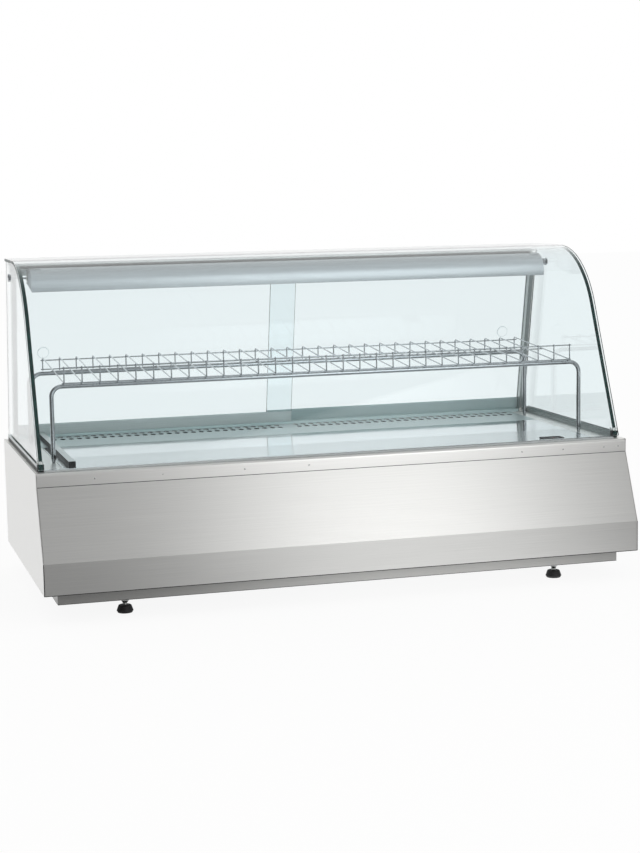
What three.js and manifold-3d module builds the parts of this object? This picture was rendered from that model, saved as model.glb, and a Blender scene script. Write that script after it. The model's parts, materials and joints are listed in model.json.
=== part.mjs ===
// Counter-top refrigerated display case with a curved, tilting front glass, a wire shelf,
// a lamp under the top and two sliding doors at the back. Millimetres, +Z up, front faces -Y.
// The origin is on the floor, under the middle of the base.
import * as THREE from 'three';
import { mergeVertices } from 'three/addons/utils/BufferGeometryUtils.js';
import Module from 'manifold-3d';

const wasm = await Module();
wasm.setup();

// Driving dimensions of the whole case
const caseWidth = 1300;
const baseDepth = 620;
const deckHeight = 298;
const topHeight = 714.7;
const sheet = 1.5;
const fitGap = 0.3;
const overrun = 2;

// Base: plinth, lower band, sloping front and fascia, from the floor upwards
const underClearance = 30;
const plinthHeight = 28;
const plinthSetback = 40;
const plinthSideInset = 32;
const lowerBandHeight = 66;
const fasciaHeight = 28;
const fasciaSetback = 62;
const foldRadius = 6;
const flangeWidth = 12;
const rearPanelInset = 8;

// Glass superstructure
const glassThickness = 6;
const sideGlassThickness = 8;
const glassOverhang = 8;
const glassFootSetback = 18;
const glassFootLift = 5.5;
const glassBendRadius = 210;
const glassFlatDepth = 134.5;
const glassRearLap = 9.8;
const sideGlassInset = 10.5;
const channelHeight = 14;
const channelClearance = 3;
const doorLeanDegrees = 11.8;
const doorFootInset = 12;

// Display floor
const plateSideInset = 62;
const plateFrontInset = 35;
const plateRearInset = 24;
const frontPlateDepth = 153;
const ductCoverDepth = 171;
const plateLap = 12;
const plateFlange = 10;

// Doors and the rail over them
const doorGlassThickness = 5;
const doorOverlap = 58;
const doorPitch = 11;
const paneLap = 6;
const topRailHeight = 18;
const topRailHalf = 14;
const topRailDrop = 12.5;

// Levels and places worked out from the driving dimensions
const halfWidth = caseWidth / 2;
const frontY = -baseDepth / 2;
const rearY = baseDepth / 2;
const baseZ = underClearance + plinthHeight;
const foldZ = baseZ + lowerBandHeight;
const seamZ = deckHeight - fasciaHeight;
const fasciaY = frontY + fasciaSetback;
const innerHalfWidth = halfWidth - sheet - fitGap;
const rearPanelY = rearY - rearPanelInset;
const plateHalfWidth = halfWidth - plateSideInset;
const plateTop = deckHeight + sheet;
const plateFrontY = fasciaY + plateFrontInset;
const floorFrontY = plateFrontY + frontPlateDepth;
const ductRearY = rearY - plateRearInset;
const ductFrontY = ductRearY - ductCoverDepth;
const doorLean = THREE.MathUtils.degToRad(doorLeanDegrees);
const doorFootY = rearY - doorFootInset;

// Places in the plane of the leaning doors: out is away from the case, up is along the glass
const leaning = (out, up) => [
  doorFootY + out * Math.cos(doorLean) - up * Math.sin(doorLean),
  deckHeight + out * Math.sin(doorLean) + up * Math.cos(doorLean),
];
const topRailRise = topHeight - topRailDrop - deckHeight - topRailHalf * Math.sin(doorLean);
const topRailUp = topRailRise / Math.cos(doorLean) - topRailHeight;
const doorHeight = topRailUp + paneLap;

// Outer face of the front glass: straight from its foot, bent once, then flat to the top rail
const glassFootY = fasciaY + glassFootSetback;
const glassFootZ = deckHeight + glassFootLift;
const glassEndY = leaning(0, topRailUp + topRailHeight)[0] + glassRearLap;
const bendY = glassEndY - glassFlatDepth;
const bendZ = topHeight - glassBendRadius;
const footToBend = Math.hypot(bendY - glassFootY, bendZ - glassFootZ);
const bendAngle = Math.atan2(bendZ - glassFootZ, bendY - glassFootY);
const glassSlope = bendAngle + Math.asin(glassBendRadius / footToBend);

// Finishes
const finish = (color, roughness, metalness) =>
  new THREE.MeshStandardMaterial({ color, roughness, metalness });
const brushedSteel = () => finish(0xb8b8b6, 0.35, 1);
const polishedSteel = () => finish(0xd5dadd, 0.08, 1);
const galvanised = () => finish(0x9aa0a2, 0.5, 1);
const chrome = () => finish(0xe2e4e6, 0.06, 1);
const aluminium = () => finish(0xc2c8c8, 0.4, 1);
const copper = () => finish(0xb87450, 0.3, 1);
const blackPlastic = () => finish(0x17181a, 0.45, 0);
const greyPlastic = () => finish(0x3f4346, 0.5, 0);
const blackPaint = () => finish(0x1c1d1f, 0.4, 0.2);
const rubber = () => finish(0x101112, 0.8, 0);
const whiteEnamel = () => finish(0xe8eae9, 0.3, 0);
const whitePlastic = () => finish(0xe4e6e4, 0.4, 0);
const clearGlass = () => {
  const material = finish(0xcfe3e2, 0.03, 0);
  material.transparent = true;
  material.opacity = 0.35;
  return material;
};

// Solids: three.js makes the shapes, manifold joins and cuts them
const weldTolerance = 0.001;
function toSolid(geometry) {
  const plain = geometry.index ? geometry.toNonIndexed() : geometry.clone();
  for (const name of Object.keys(plain.attributes)) {
    if (name !== 'position') plain.deleteAttribute(name);
  }
  const merged = mergeVertices(plain, weldTolerance);
  return new wasm.Manifold(new wasm.Mesh({
    numProp: 3,
    vertProperties: new Float32Array(merged.attributes.position.array),
    triVerts: new Uint32Array(merged.index.array),
  }));
}

function toGeometry(solid) {
  const mesh = solid.getMesh();
  const geometry = new THREE.BufferGeometry();
  geometry.setAttribute('position', new THREE.BufferAttribute(mesh.vertProperties, 3));
  geometry.setIndex(new THREE.BufferAttribute(mesh.triVerts, 1));
  const flat = geometry.toNonIndexed();
  flat.computeVertexNormals();
  return flat;
}

const joined = (solids) => solids.reduce((all, one) => all.add(one));
const cutBy = (solid, cutters) => cutters.reduce((left, cutter) => left.subtract(cutter), solid);

function box(x0, x1, y0, y1, z0, z1) {
  const geometry = new THREE.BoxGeometry(x1 - x0, y1 - y0, z1 - z0);
  geometry.translate((x0 + x1) / 2, (y0 + y1) / 2, (z0 + z1) / 2);
  return toSolid(geometry);
}

function shapeOf(points) {
  return new THREE.Shape(points.map(([u, v]) => new THREE.Vector2(u, v)));
}

function extruded(shape, length, curveSegments = 6) {
  return new THREE.ExtrudeGeometry(shape, { depth: length, bevelEnabled: false, steps: 1, curveSegments });
}

// A section drawn in Y and Z, run along X
function prismX(points, x0, x1) {
  const geometry = extruded(shapeOf(points), x1 - x0);
  const turn = new THREE.Matrix4().makeBasis(
    new THREE.Vector3(0, 1, 0), new THREE.Vector3(0, 0, 1), new THREE.Vector3(1, 0, 0));
  geometry.applyMatrix4(turn);
  geometry.translate(x0, 0, 0);
  return toSolid(geometry);
}

function prismZ(points, z0, z1) {
  const geometry = extruded(shapeOf(points), z1 - z0);
  geometry.translate(0, 0, z0);
  return toSolid(geometry);
}

// A round bar along one of the axes, centred on (a, b) of the other two
function rod(axis, radius, from, to, a, b, sides = 24) {
  const geometry = new THREE.CylinderGeometry(radius, radius, to - from, sides);
  const middle = (from + to) / 2;
  if (axis === 'x') geometry.rotateZ(-Math.PI / 2).translate(middle, a, b);
  if (axis === 'y') geometry.translate(a, middle, b);
  if (axis === 'z') geometry.rotateX(Math.PI / 2).translate(a, b, middle);
  return toSolid(geometry);
}

// A turned piece standing on Z; its profile of [radius, height] starts and ends on the axis
function turned(profile, x, y, sides = 24) {
  const geometry = new THREE.LatheGeometry(profile.map(([r, h]) => new THREE.Vector2(r, h)), sides);
  geometry.rotateX(Math.PI / 2).translate(x, y, 0);
  return toSolid(geometry);
}

// A round wire or tube that follows a curve
function wire(curve, radius, steps, sides = 8) {
  const section = new THREE.Shape();
  for (let side = 0; side < sides; side += 1) {
    const angle = (2 * Math.PI * side) / sides;
    const point = [radius * Math.cos(angle), radius * Math.sin(angle)];
    if (side === 0) section.moveTo(...point);
    else section.lineTo(...point);
  }
  return toSolid(new THREE.ExtrudeGeometry(section, { steps, bevelEnabled: false, extrudePath: curve }));
}

// A path of straight runs; at each point the tube turns by half of the bend
class StraightRuns extends THREE.Curve {
  constructor(points) {
    super();
    this.points = points;
  }

  getPoint(share, target = new THREE.Vector3()) {
    const last = this.points.length - 1;
    const place = Math.min(Math.max(share, 0), 1) * last;
    const index = Math.min(Math.floor(place), last - 1);
    return target.lerpVectors(this.points[index], this.points[index + 1], place - index);
  }

  getPointAt(share, target) {
    return this.getPoint(share, target);
  }

  getTangentAt(share, target = new THREE.Vector3()) {
    const last = this.points.length - 1;
    const index = Math.round(share * last);
    const run = (from) => this.points[from + 1].clone().sub(this.points[from]).normalize();
    const before = run(Math.max(index - 1, 0));
    const after = run(Math.min(index, last - 1));
    return target.copy(before).add(after).normalize();
  }
}

// Rounds the inner corners of a path, each with a few short runs
function rounded(corners, radius, steps) {
  const points = [corners[0]];
  for (let index = 1; index < corners.length - 1; index += 1) {
    const corner = corners[index];
    const start = corner.clone().add(corners[index - 1].clone().sub(corner).setLength(radius));
    const end = corner.clone().add(corners[index + 1].clone().sub(corner).setLength(radius));
    const bend = new THREE.QuadraticBezierCurve3(start, corner, end);
    for (let step = 0; step <= steps; step += 1) points.push(bend.getPoint(step / steps));
  }
  points.push(corners[corners.length - 1]);
  return points;
}

function tube(corners, bendRadius, bendSteps, radius, sides) {
  const points = rounded(corners, bendRadius, bendSteps);
  return wire(new StraightRuns(points), radius, points.length - 1, sides);
}

// Shifts an open or closed outline sideways by a distance, to the left of its direction
function shifted(points, distance, closed) {
  const count = points.length;
  const normalOf = (from, to) => {
    const length = Math.hypot(to[0] - from[0], to[1] - from[1]);
    return [-(to[1] - from[1]) / length, (to[0] - from[0]) / length];
  };
  return points.map((point, index) => {
    const before = closed || index > 0 ? points[(index - 1 + count) % count] : null;
    const after = closed || index < count - 1 ? points[(index + 1) % count] : null;
    const first = before ? normalOf(before, point) : normalOf(point, after);
    const second = after ? normalOf(point, after) : first;
    const scale = distance / (1 + first[0] * second[0] + first[1] * second[1]);
    return [point[0] + (first[0] + second[0]) * scale, point[1] + (first[1] + second[1]) * scale];
  });
}

// The closed section of a bent sheet whose outer face follows the points
function bentSheet(points, thickness) {
  return [...points, ...shifted(points, thickness, false).reverse()];
}

function arc(centreY, centreZ, radius, fromDegrees, toDegrees, steps) {
  const points = [];
  for (let step = 0; step <= steps; step += 1) {
    const angle = THREE.MathUtils.degToRad(fromDegrees + ((toDegrees - fromDegrees) * step) / steps);
    points.push([centreY + radius * Math.cos(angle), centreZ + radius * Math.sin(angle)]);
  }
  return points;
}

const displayCase = new THREE.Group();
displayCase.name = 'display_case';

function place(parent, name, solid, material) {
  const mesh = new THREE.Mesh(toGeometry(solid), material);
  mesh.name = name;
  parent.add(mesh);
  return mesh;
}

const mirrored = (solid) => solid.mirror([1, 0, 0]);

// Side panels: a flat sheet each, with a return flange that the other panels lie on
function sidePanel() {
  const outline = [
    [frontY, baseZ], [rearY, baseZ], [rearY, deckHeight],
    [fasciaY, deckHeight], [fasciaY, seamZ], [frontY, foldZ],
  ];
  const flangeOuter = shifted(outline, sheet + fitGap, true);
  const flangeInner = shifted(outline, 2 * sheet + fitGap, true);
  const face = prismX(outline, halfWidth - sheet, halfWidth);
  const from = halfWidth - sheet - flangeWidth;
  const notch = 2 * foldRadius;
  const flange = cutBy(prismX(flangeOuter, from, halfWidth - sheet), [
    prismX(flangeInner, from - overrun, halfWidth - sheet),
    box(from - overrun, halfWidth - sheet, fasciaY - notch, fasciaY + notch, seamZ - notch, deckHeight),
    box(from - overrun, halfWidth - sheet, rearY - notch, rearY, deckHeight - notch, deckHeight),
  ]);
  return face.add(flange);
}

// Front panel: vertical lower band, sloping face and a top edge that tucks behind the fascia
const frontReturn = 22;
function frontPanel() {
  const tuck = 12;
  const tuckIn = sheet + fitGap;
  const slope = fasciaSetback / (seamZ - foldZ);
  const path = [
    [frontY + frontReturn, baseZ], [frontY, baseZ], [frontY, foldZ],
    [fasciaY - slope * fitGap, seamZ - fitGap],
    [fasciaY + tuckIn, seamZ - fitGap], [fasciaY + tuckIn, seamZ + tuck],
  ];
  return prismX(bentSheet(path, -sheet), -innerHalfWidth, innerHalfWidth);
}

// Deck: one folded sheet, the fascia at the front and a downturn at the back, open over the well
const wellX = plateHalfWidth - plateLap;
const wellFrontY = plateFrontY + plateLap;
const wellRearY = ductRearY - plateLap;
function deckFrame() {
  const fold = deckHeight - foldRadius;
  const path = [
    [fasciaY, seamZ],
    ...arc(fasciaY + foldRadius, fold, foldRadius, 180, 90, 5),
    ...arc(rearY - foldRadius, fold, foldRadius, 90, 0, 5),
    [rearY, seamZ],
  ];
  const folded = prismX(bentSheet(path, -sheet), -innerHalfWidth, innerHalfWidth);
  const opening = box(-wellX, wellX, wellFrontY, wellRearY, deckHeight - foldRadius, deckHeight + overrun);
  return folded.subtract(opening);
}

// Floor plates: each lies on the deck round the well and has folded stiffening edges inside it
function floorPlate(x0, x1, y0, y1, frontFold, rearFold) {
  const top = box(x0, x1, y0, y1, deckHeight, plateTop);
  const foldX0 = Math.max(x0, -wellX + fitGap);
  const foldX1 = Math.min(x1, wellX - fitGap);
  const foldZ0 = deckHeight - plateFlange;
  const folds = [];
  if (frontFold) folds.push(box(foldX0, foldX1, y0, y0 + sheet, foldZ0, plateTop));
  if (rearFold) folds.push(box(foldX0, foldX1, y1 - sheet, y1, foldZ0, plateTop));
  return joined([top, ...folds]);
}

const slotPitch = 19;
const slotWidth = 7;
const slotLength = 15;
const slotRowInset = 13;
const slotRowPitch = 34;

// One oblong hole: straight sides with half-round ends
function oblongHole(x, y) {
  const radius = slotWidth / 2;
  const straight = slotLength / 2 - radius;
  const points = [
    ...arc(x, y + straight, radius, 0, 180, 2),
    ...arc(x, y - straight, radius, 180, 360, 2),
  ];
  return prismZ(points, deckHeight - overrun, plateTop + overrun);
}

// Duct covers: two lengths, with two rows of oblong holes near the doors for the cold air
function ductCover(x0, x1) {
  const plate = floorPlate(x0, x1, ductFrontY + fitGap / 2, ductRearY, true, false);
  const columns = Math.floor((x1 - x0 - slotPitch) / slotPitch);
  const firstX = (x0 + x1) / 2 - ((columns - 1) * slotPitch) / 2;
  const holes = [];
  for (let column = 0; column < columns; column += 1) {
    for (let row = 0; row < 2; row += 1) {
      const y = ductRearY - slotRowInset - slotLength / 2 - row * slotRowPitch;
      holes.push(oblongHole(firstX + column * slotPitch, y));
    }
  }
  return plate.subtract(wasm.Manifold.compose(holes));
}

// Well: insulated tub hung under the deck, with a drain outlet in its floor
const wellWall = 22;
const wellDepth = 66;
const wellFloor = 15;
const wellTop = deckHeight - sheet - fitGap;
const wellBottom = wellTop - wellDepth - wellFloor;
const wellFloorTop = wellBottom + wellFloor;
const drainSideInset = 230;
const drainRearInset = 182;
const drainX = -halfWidth + drainSideInset;
const drainY = rearPanelY - drainRearInset;
const drainRadius = 9;
const pipeBoreRadius = 7.5;
function wellTub() {
  const outer = box(-wellX - wellWall, wellX + wellWall, wellFrontY - wellWall, wellRearY + wellWall,
    wellBottom, wellTop);
  const inner = box(-wellX, wellX, wellFrontY, wellRearY, wellFloorTop, wellTop + overrun);
  const outlet = rod('z', drainRadius + 2 * fitGap, wellBottom - overrun, wellFloorTop + overrun,
    drainX, drainY, 12);
  return outer.subtract(inner).subtract(outlet);
}

// Base pan: closes the base from below and carries the machinery, with vents under the condenser
const panTop = baseZ + sheet;
const panUpturn = 24;
const ventWidth = 8;
const ventLength = 78;
const ventPitch = 18;
const ventCount = 9;
const ventSetback = 172;
const condenserSideInset = 220;
const condenserRearInset = 52;
const condenserX = halfWidth - condenserSideInset;
const condenserY = rearPanelY - condenserRearInset;
function basePan() {
  const x = halfWidth - sheet - flangeWidth - fitGap;
  const yFront = frontY + frontReturn + fitGap;
  const yRear = rearPanelY - sheet - fitGap;
  const z0 = baseZ;
  const path = [
    [yFront, z0 + panUpturn], [yFront, z0], [yRear, z0], [yRear, z0 + panUpturn],
  ];
  const pan = prismX(bentSheet(path, sheet), -x, x);
  const vents = [];
  for (let vent = 0; vent < ventCount; vent += 1) {
    const ventX = condenserX + (vent - (ventCount - 1) / 2) * ventPitch;
    const ventRearY = condenserY - ventSetback;
    vents.push(box(ventX - ventWidth / 2, ventX + ventWidth / 2, ventRearY - ventLength, ventRearY,
      z0 - overrun, panTop + overrun));
  }
  return cutBy(pan, vents);
}

// Plinth: a recessed frame under the base; corner gussets carry the feet
const plinthX = halfWidth - plinthSideInset;
const plinthFrontY = frontY + plinthSetback;
const plinthRearY = rearY - plinthSetback;
const footSideInset = 141;
const footX = plinthX - footSideInset;
const footInsetY = 22;
const stemRadius = 5;
function plinth() {
  const outer = box(-plinthX, plinthX, plinthFrontY, plinthRearY, underClearance, baseZ);
  const inner = box(-plinthX + sheet, plinthX - sheet, plinthFrontY + sheet, plinthRearY - sheet,
    underClearance - overrun, baseZ + overrun);
  const frame = outer.subtract(inner);
  const railWidth = 2 * footInsetY;
  const rails = [];
  for (const y0 of [plinthFrontY + sheet, plinthRearY - sheet - railWidth]) {
    rails.push(box(-plinthX + sheet, plinthX - sheet, y0, y0 + railWidth, baseZ - 2 * sheet, baseZ));
  }
  const holes = [];
  for (const x of [-footX, footX]) {
    for (const y of [plinthFrontY + footInsetY, plinthRearY - footInsetY]) {
      holes.push(rod('z', stemRadius + 2 * fitGap, underClearance, baseZ + overrun, x, y, 8));
    }
  }
  return cutBy(joined([frame, ...rails]), holes);
}

// Levelling foot: flared rubber pad, threaded stem and hexagon nut, turned to screw in and out
const padRadius = 17.5;
const padTopRadius = 13.5;
const padHeight = 16;
function foot(x, y) {
  const nutRadius = 8.5;
  const nutHeight = 6;
  const stemTop = baseZ - fitGap;
  const padEdge = 2;
  const pad = turned([
    [0, 0], [padRadius - padEdge, 0], [padRadius, padEdge], [padRadius, 2 * padEdge],
    [padTopRadius, padHeight - padEdge], [padTopRadius - padEdge, padHeight], [0, padHeight],
  ], x, y, 16);
  const stem = rod('z', stemRadius, padHeight / 2, stemTop, x, y, 8);
  const nut = rod('z', nutRadius, padHeight - padEdge / 2, padHeight + nutHeight, x, y, 6);
  return joined([pad, stem, nut]);
}

// Rear panel: flat sheet with two groups of louvre slots and cut-outs for the controls and inlet
const louvreWidth = 150;
const louvreSlot = 6;
const louvrePitch = 16;
const louvreGroupGap = 15;
const louvreLift = 40.5;
const louvreZ = panTop + louvreLift;
const louvreRows = 1 + Math.floor((wellBottom - louvreZ) / louvrePitch);
const controlSideInset = 135;
const controlDrop = 108;
const controlX = -halfWidth + controlSideInset;
const controlZ = deckHeight - controlDrop;
const bezelWidth = 190;
const bezelHeight = 92;
const bezelThickness = 2.5;
const controllerWidth = 71;
const controllerHeight = 29;
const controllerOffset = 45;
const controllerX = controlX + controllerOffset;
const switchWidth = 13;
const switchHeight = 21;
const switchOffset = 62;
const switchPitch = 28;
const glandOffset = 165;
const glandLift = 50.5;
const glandX = controlX + glandOffset;
const glandZ = panTop + glandLift;
const glandRadius = 11;
const glandNeckRadius = 7.7;
const glandBoreRadius = 3.85;
const switchX = (index) => controlX - switchOffset + index * switchPitch;
function rearPanel() {
  const plate = box(-halfWidth + sheet + flangeWidth + fitGap, halfWidth - sheet - flangeWidth - fitGap,
    rearPanelY - sheet, rearPanelY, panTop + fitGap, wellTop - fitGap);
  const y0 = rearPanelY - sheet - overrun;
  const y1 = rearPanelY + overrun;
  const cutters = [rod('y', glandNeckRadius + 2 * fitGap, y0, y1, glandX, glandZ, 12)];
  const groupOffset = (louvreWidth + louvreGroupGap) / 2;
  for (const centre of [condenserX - groupOffset, condenserX + groupOffset]) {
    for (let row = 0; row < louvreRows; row += 1) {
      const z = louvreZ + row * louvrePitch;
      cutters.push(box(centre - louvreWidth / 2, centre + louvreWidth / 2, y0, y1, z, z + louvreSlot));
    }
  }
  cutters.push(box(controlX - bezelWidth / 2 + 4 * sheet, controlX + bezelWidth / 2 - 4 * sheet, y0, y1,
    controlZ - bezelHeight / 2 + 4 * sheet, controlZ + bezelHeight / 2 - 4 * sheet));
  return cutBy(plate, cutters);
}

function controlBezel() {
  const y0 = rearPanelY;
  const y1 = rearPanelY + bezelThickness;
  const plate = box(controlX - bezelWidth / 2, controlX + bezelWidth / 2, y0, y1,
    controlZ - bezelHeight / 2, controlZ + bezelHeight / 2);
  const opening = (x, width, height) => box(x - width / 2 - fitGap, x + width / 2 + fitGap,
    y0 - overrun, y1 + overrun, controlZ - height / 2 - fitGap, controlZ + height / 2 + fitGap);
  return cutBy(plate, [
    opening(controllerX, controllerWidth, controllerHeight),
    opening(switchX(0), switchWidth, switchHeight),
    opening(switchX(1), switchWidth, switchHeight),
  ]);
}

// Temperature controller: a panel instrument with a window and three keys under it
const keyWidth = 9;
const keyHeight = 5;
const keyTravel = 1;
const keyProud = 1.2;
const keyPitch = 16;
const keyCount = 3;
const keyZ = controlZ - controllerHeight / 2 + keyHeight;
const keyX = (key) => controllerX + (key - 1) * keyPitch;
const lipThickness = 1;
const controllerFace = rearPanelY + bezelThickness + lipThickness;
const windowWidthShare = 0.36;
const windowTopShare = 0.4;
function temperatureController() {
  const bodyDepth = 55;
  const lip = 2;
  const body = box(controllerX - controllerWidth / 2, controllerX + controllerWidth / 2,
    rearPanelY - bodyDepth, controllerFace,
    controlZ - controllerHeight / 2, controlZ + controllerHeight / 2);
  const frame = box(controllerX - controllerWidth / 2 - lip, controllerX + controllerWidth / 2 + lip,
    rearPanelY + bezelThickness, controllerFace,
    controlZ - controllerHeight / 2 - lip, controlZ + controllerHeight / 2 + lip);
  const half = controllerWidth * windowWidthShare;
  const window = box(controllerX - half, controllerX + half,
    controllerFace - sheet / 2, controllerFace + overrun,
    controlZ - lip, controlZ + controllerHeight * windowTopShare);
  const wellHalf = keyWidth / 2 + fitGap;
  const wells = Array.from({ length: keyCount }, (_, key) => box(keyX(key) - wellHalf, keyX(key) + wellHalf,
    controllerFace - keyTravel - keyHeight - fitGap, controllerFace + overrun,
    keyZ - keyHeight / 2 - fitGap, keyZ + keyHeight / 2 + fitGap));
  return cutBy(joined([body, frame]), [window, ...wells]);
}

function controllerKey(key) {
  return box(keyX(key) - keyWidth / 2, keyX(key) + keyWidth / 2,
    controllerFace - keyHeight + fitGap, controllerFace + keyProud,
    keyZ - keyHeight / 2, keyZ + keyHeight / 2);
}

// Rocker: a shallow V about its own pin; it rests tilted to one side
const rockerTiltDegrees = 7;
const rockerTilt = THREE.MathUtils.degToRad(rockerTiltDegrees);
const rockerPinDepth = 3;
const rockerDepth = 6;
function rocker() {
  const reach = switchHeight / 2 - 3 * fitGap;
  const rise = Math.tan(rockerTilt) * reach;
  const face = rockerPinDepth + fitGap;
  const back = face - rockerDepth;
  const section = [
    [back, -reach / 2], [face, -reach], [face + rise, -reach], [face, 0],
    [face + rise, reach], [face, reach], [back, reach / 2],
  ];
  return prismX(section, -switchWidth / 2 + fitGap, switchWidth / 2 - fitGap);
}

// Cable inlet: a domed gland nut outside and its lock nut inside the rear panel
function cableGland() {
  const proud = rearPanelInset - fitGap;
  const lockY = rearPanelY - sheet - fitGap;
  const nut = rod('y', glandRadius, rearPanelY + fitGap, rearPanelY + proud, glandX, glandZ, 6);
  const neck = rod('y', glandNeckRadius, rearPanelY - 3 * proud, rearPanelY + proud, glandX, glandZ, 12);
  const lock = rod('y', glandRadius, lockY - proud, lockY, glandX, glandZ, 6);
  const hole = rod('y', glandBoreRadius, rearPanelY - 4 * proud, rearPanelY + 2 * proud, glandX, glandZ, 12);
  return joined([nut, neck, lock]).subtract(hole);
}

// Evaporator: finned block on the well floor, its tubes showing past the fins
const evaporatorWidth = 520;
const evaporatorDepth = 70;
const evaporatorHeight = 50;
const evaporatorDrainGap = 40;
const evaporatorRearInset = 204;
const evaporatorX = drainX + evaporatorDrainGap + evaporatorWidth / 2;
const evaporatorY = wellRearY - evaporatorRearInset;
const tubeRadius = 5;
function finnedCoil(x, y, z, width, depth, height, fins, rows, columns) {
  const finThickness = sheet;
  const solids = [];
  for (let fin = 0; fin < fins; fin += 1) {
    const finX = x - width / 2 + (fin * (width - finThickness)) / (fins - 1);
    solids.push(box(finX, finX + finThickness, y - depth / 2, y + depth / 2, z, z + height));
  }
  const tubeReach = width / 2 + 2 * tubeRadius;
  const spacingY = depth / columns;
  const spacingZ = height / rows;
  for (let row = 0; row < rows; row += 1) {
    for (let column = 0; column < columns; column += 1) {
      const tubeY = y - depth / 2 + spacingY * (column + 1 / 2);
      const tubeZ = z + spacingZ * (row + 1 / 2);
      solids.push(rod('x', tubeRadius, x - tubeReach, x + tubeReach, tubeY, tubeZ, 6));
    }
  }
  return joined(solids);
}

// Tangential blower in front of the evaporator: a bladed drum in a scroll on two end plates
const blowerRadius = 24;
const blowerLength = 300;
const blowerFloorGap = 5;
const blowerX = evaporatorX;
const blowerY = evaporatorY - evaporatorDepth / 2 - 2 * blowerRadius;
const blowerZ = wellFloorTop + blowerRadius + blowerFloorGap;
const shaftRadius = 3;
const bladeRadiusShares = [0.72, 1, 1, 0.72];
const bladeTurnShares = [0, 0.25, 0.42, 0.5];
function blowerRotor() {
  const blades = 14;
  const step = (2 * Math.PI) / blades;
  const points = [];
  for (let blade = 0; blade < blades; blade += 1) {
    bladeRadiusShares.forEach((share, corner) => {
      const angle = step * (blade + bladeTurnShares[corner]);
      const radius = blowerRadius * share;
      points.push([blowerY + radius * Math.cos(angle), blowerZ + radius * Math.sin(angle)]);
    });
  }
  const drum = prismX(points, blowerX - blowerLength / 2, blowerX + blowerLength / 2);
  const shaftReach = blowerLength / 2 + 8 * sheet;
  const shaft = rod('x', shaftRadius, blowerX - shaftReach, blowerX + shaftReach, blowerY, blowerZ, 12);
  return drum.add(shaft);
}

const scrollFromDegrees = 200;
const scrollToDegrees = 60;
function blowerHousing() {
  const clearance = 2 * sheet;
  const end = blowerLength / 2 + clearance;
  const plateReach = blowerRadius + clearance;
  const bottom = wellFloorTop;
  const plates = [-1, 1].map((side) => {
    const x = blowerX + side * (end + sheet / 2);
    return box(x - sheet / 2, x + sheet / 2, blowerY - plateReach, blowerY + plateReach,
      bottom, blowerZ + plateReach);
  });
  const scrollLine = arc(blowerY, blowerZ, plateReach - sheet, scrollFromDegrees, scrollToDegrees, 8);
  const scroll = prismX(bentSheet(scrollLine, sheet), blowerX - end, blowerX + end);
  const foot = box(blowerX - end, blowerX + end, blowerY - plateReach, blowerY - plateReach / 2,
    bottom, bottom + sheet);
  const reach = end + 3 * sheet;
  const bearings = rod('x', shaftRadius + fitGap, blowerX - reach, blowerX + reach, blowerY, blowerZ, 12);
  return joined([...plates, scroll, foot]).subtract(bearings);
}

// Compressor: hermetic pot on a foot plate with three pipe stubs
const compressorOffset = 300;
const compressorX = condenserX - compressorOffset;
const compressorY = drainY;
const compressorRadius = 68;
const compressorHeadroom = 27.7;
const compressorPlateHalf = 78;
const potRadiusShares = [0, 0.94, 0.94, 1, 1, 0.94, 0.94, 0.6, 0];
const potHeightShares = [0, 0, 0.3, 0.34, 0.42, 0.46, 0.76, 0.95, 1];
const stubHeightShares = [0.45, 0.6];
function compressor() {
  const plateZ = panTop;
  const plateThickness = 3;
  const potZ = plateZ + plateThickness / 2;
  const potHeight = wellBottom - compressorHeadroom - potZ;
  const profile = potRadiusShares.map((share, index) =>
    [compressorRadius * share, potZ + potHeight * potHeightShares[index]]);
  const pot = turned(profile, compressorX, compressorY, 22);
  const half = compressorPlateHalf;
  const plate = box(compressorX - half, compressorX + half, compressorY - half, compressorY + half,
    plateZ, plateZ + plateThickness);
  const stubEnd = compressorX + compressorRadius + 4 * tubeRadius;
  const stubs = stubHeightShares.map((share) =>
    rod('x', tubeRadius, compressorX, stubEnd, compressorY, potZ + potHeight * share, 12));
  return joined([pot, plate, ...stubs]);
}

// Condenser with its fan: the shroud stands on the pan and carries the motor of the fan
const condenserWidth = 200;
const condenserDepth = 44;
const condenserHeadroom = 23.7;
const condenserHeight = wellBottom - condenserHeadroom - panTop;
const fanMargin = 10;
const fanSetback = 34;
const fanRadius = condenserHeight / 2 - fanMargin;
const fanY = condenserY - condenserDepth / 2 - fanSetback;
const fanZ = panTop + condenserHeight / 2;
const motorRadius = 16;
const motorFaceY = fanY - 10 * sheet;
function condenserShroud() {
  const depth = 26;
  const y1 = condenserY - condenserDepth / 2 - fitGap;
  const outer = box(condenserX - condenserWidth / 2, condenserX + condenserWidth / 2, y1 - depth, y1,
    panTop, panTop + condenserHeight);
  const inner = box(condenserX - condenserWidth / 2 + sheet, condenserX + condenserWidth / 2 - sheet,
    y1 - depth + sheet, y1 + overrun, panTop + sheet, panTop + condenserHeight - sheet);
  const mouth = rod('y', fanRadius + 2 * sheet, y1 - depth - overrun, y1, condenserX, fanZ, 32);
  const strut = 4 * sheet;
  const motorY = motorFaceY;
  const motor = rod('y', motorRadius, motorY - 18 * sheet, motorY, condenserX, fanZ, 20);
  const armX = fanRadius + 6 * sheet;
  const spider = [-armX, armX].map((x) => box(condenserX + x - strut / 2, condenserX + x + strut / 2,
    motorY - 2 * strut, y1 - depth + sheet, fanZ - strut / 2, fanZ + strut / 2));
  spider.push(box(condenserX - armX - strut / 2, condenserX + armX + strut / 2,
    motorY - 2 * strut, motorY - strut, fanZ - strut / 2, fanZ + strut / 2));
  return joined([outer.subtract(inner).subtract(mouth), motor, ...spider]);
}

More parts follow.
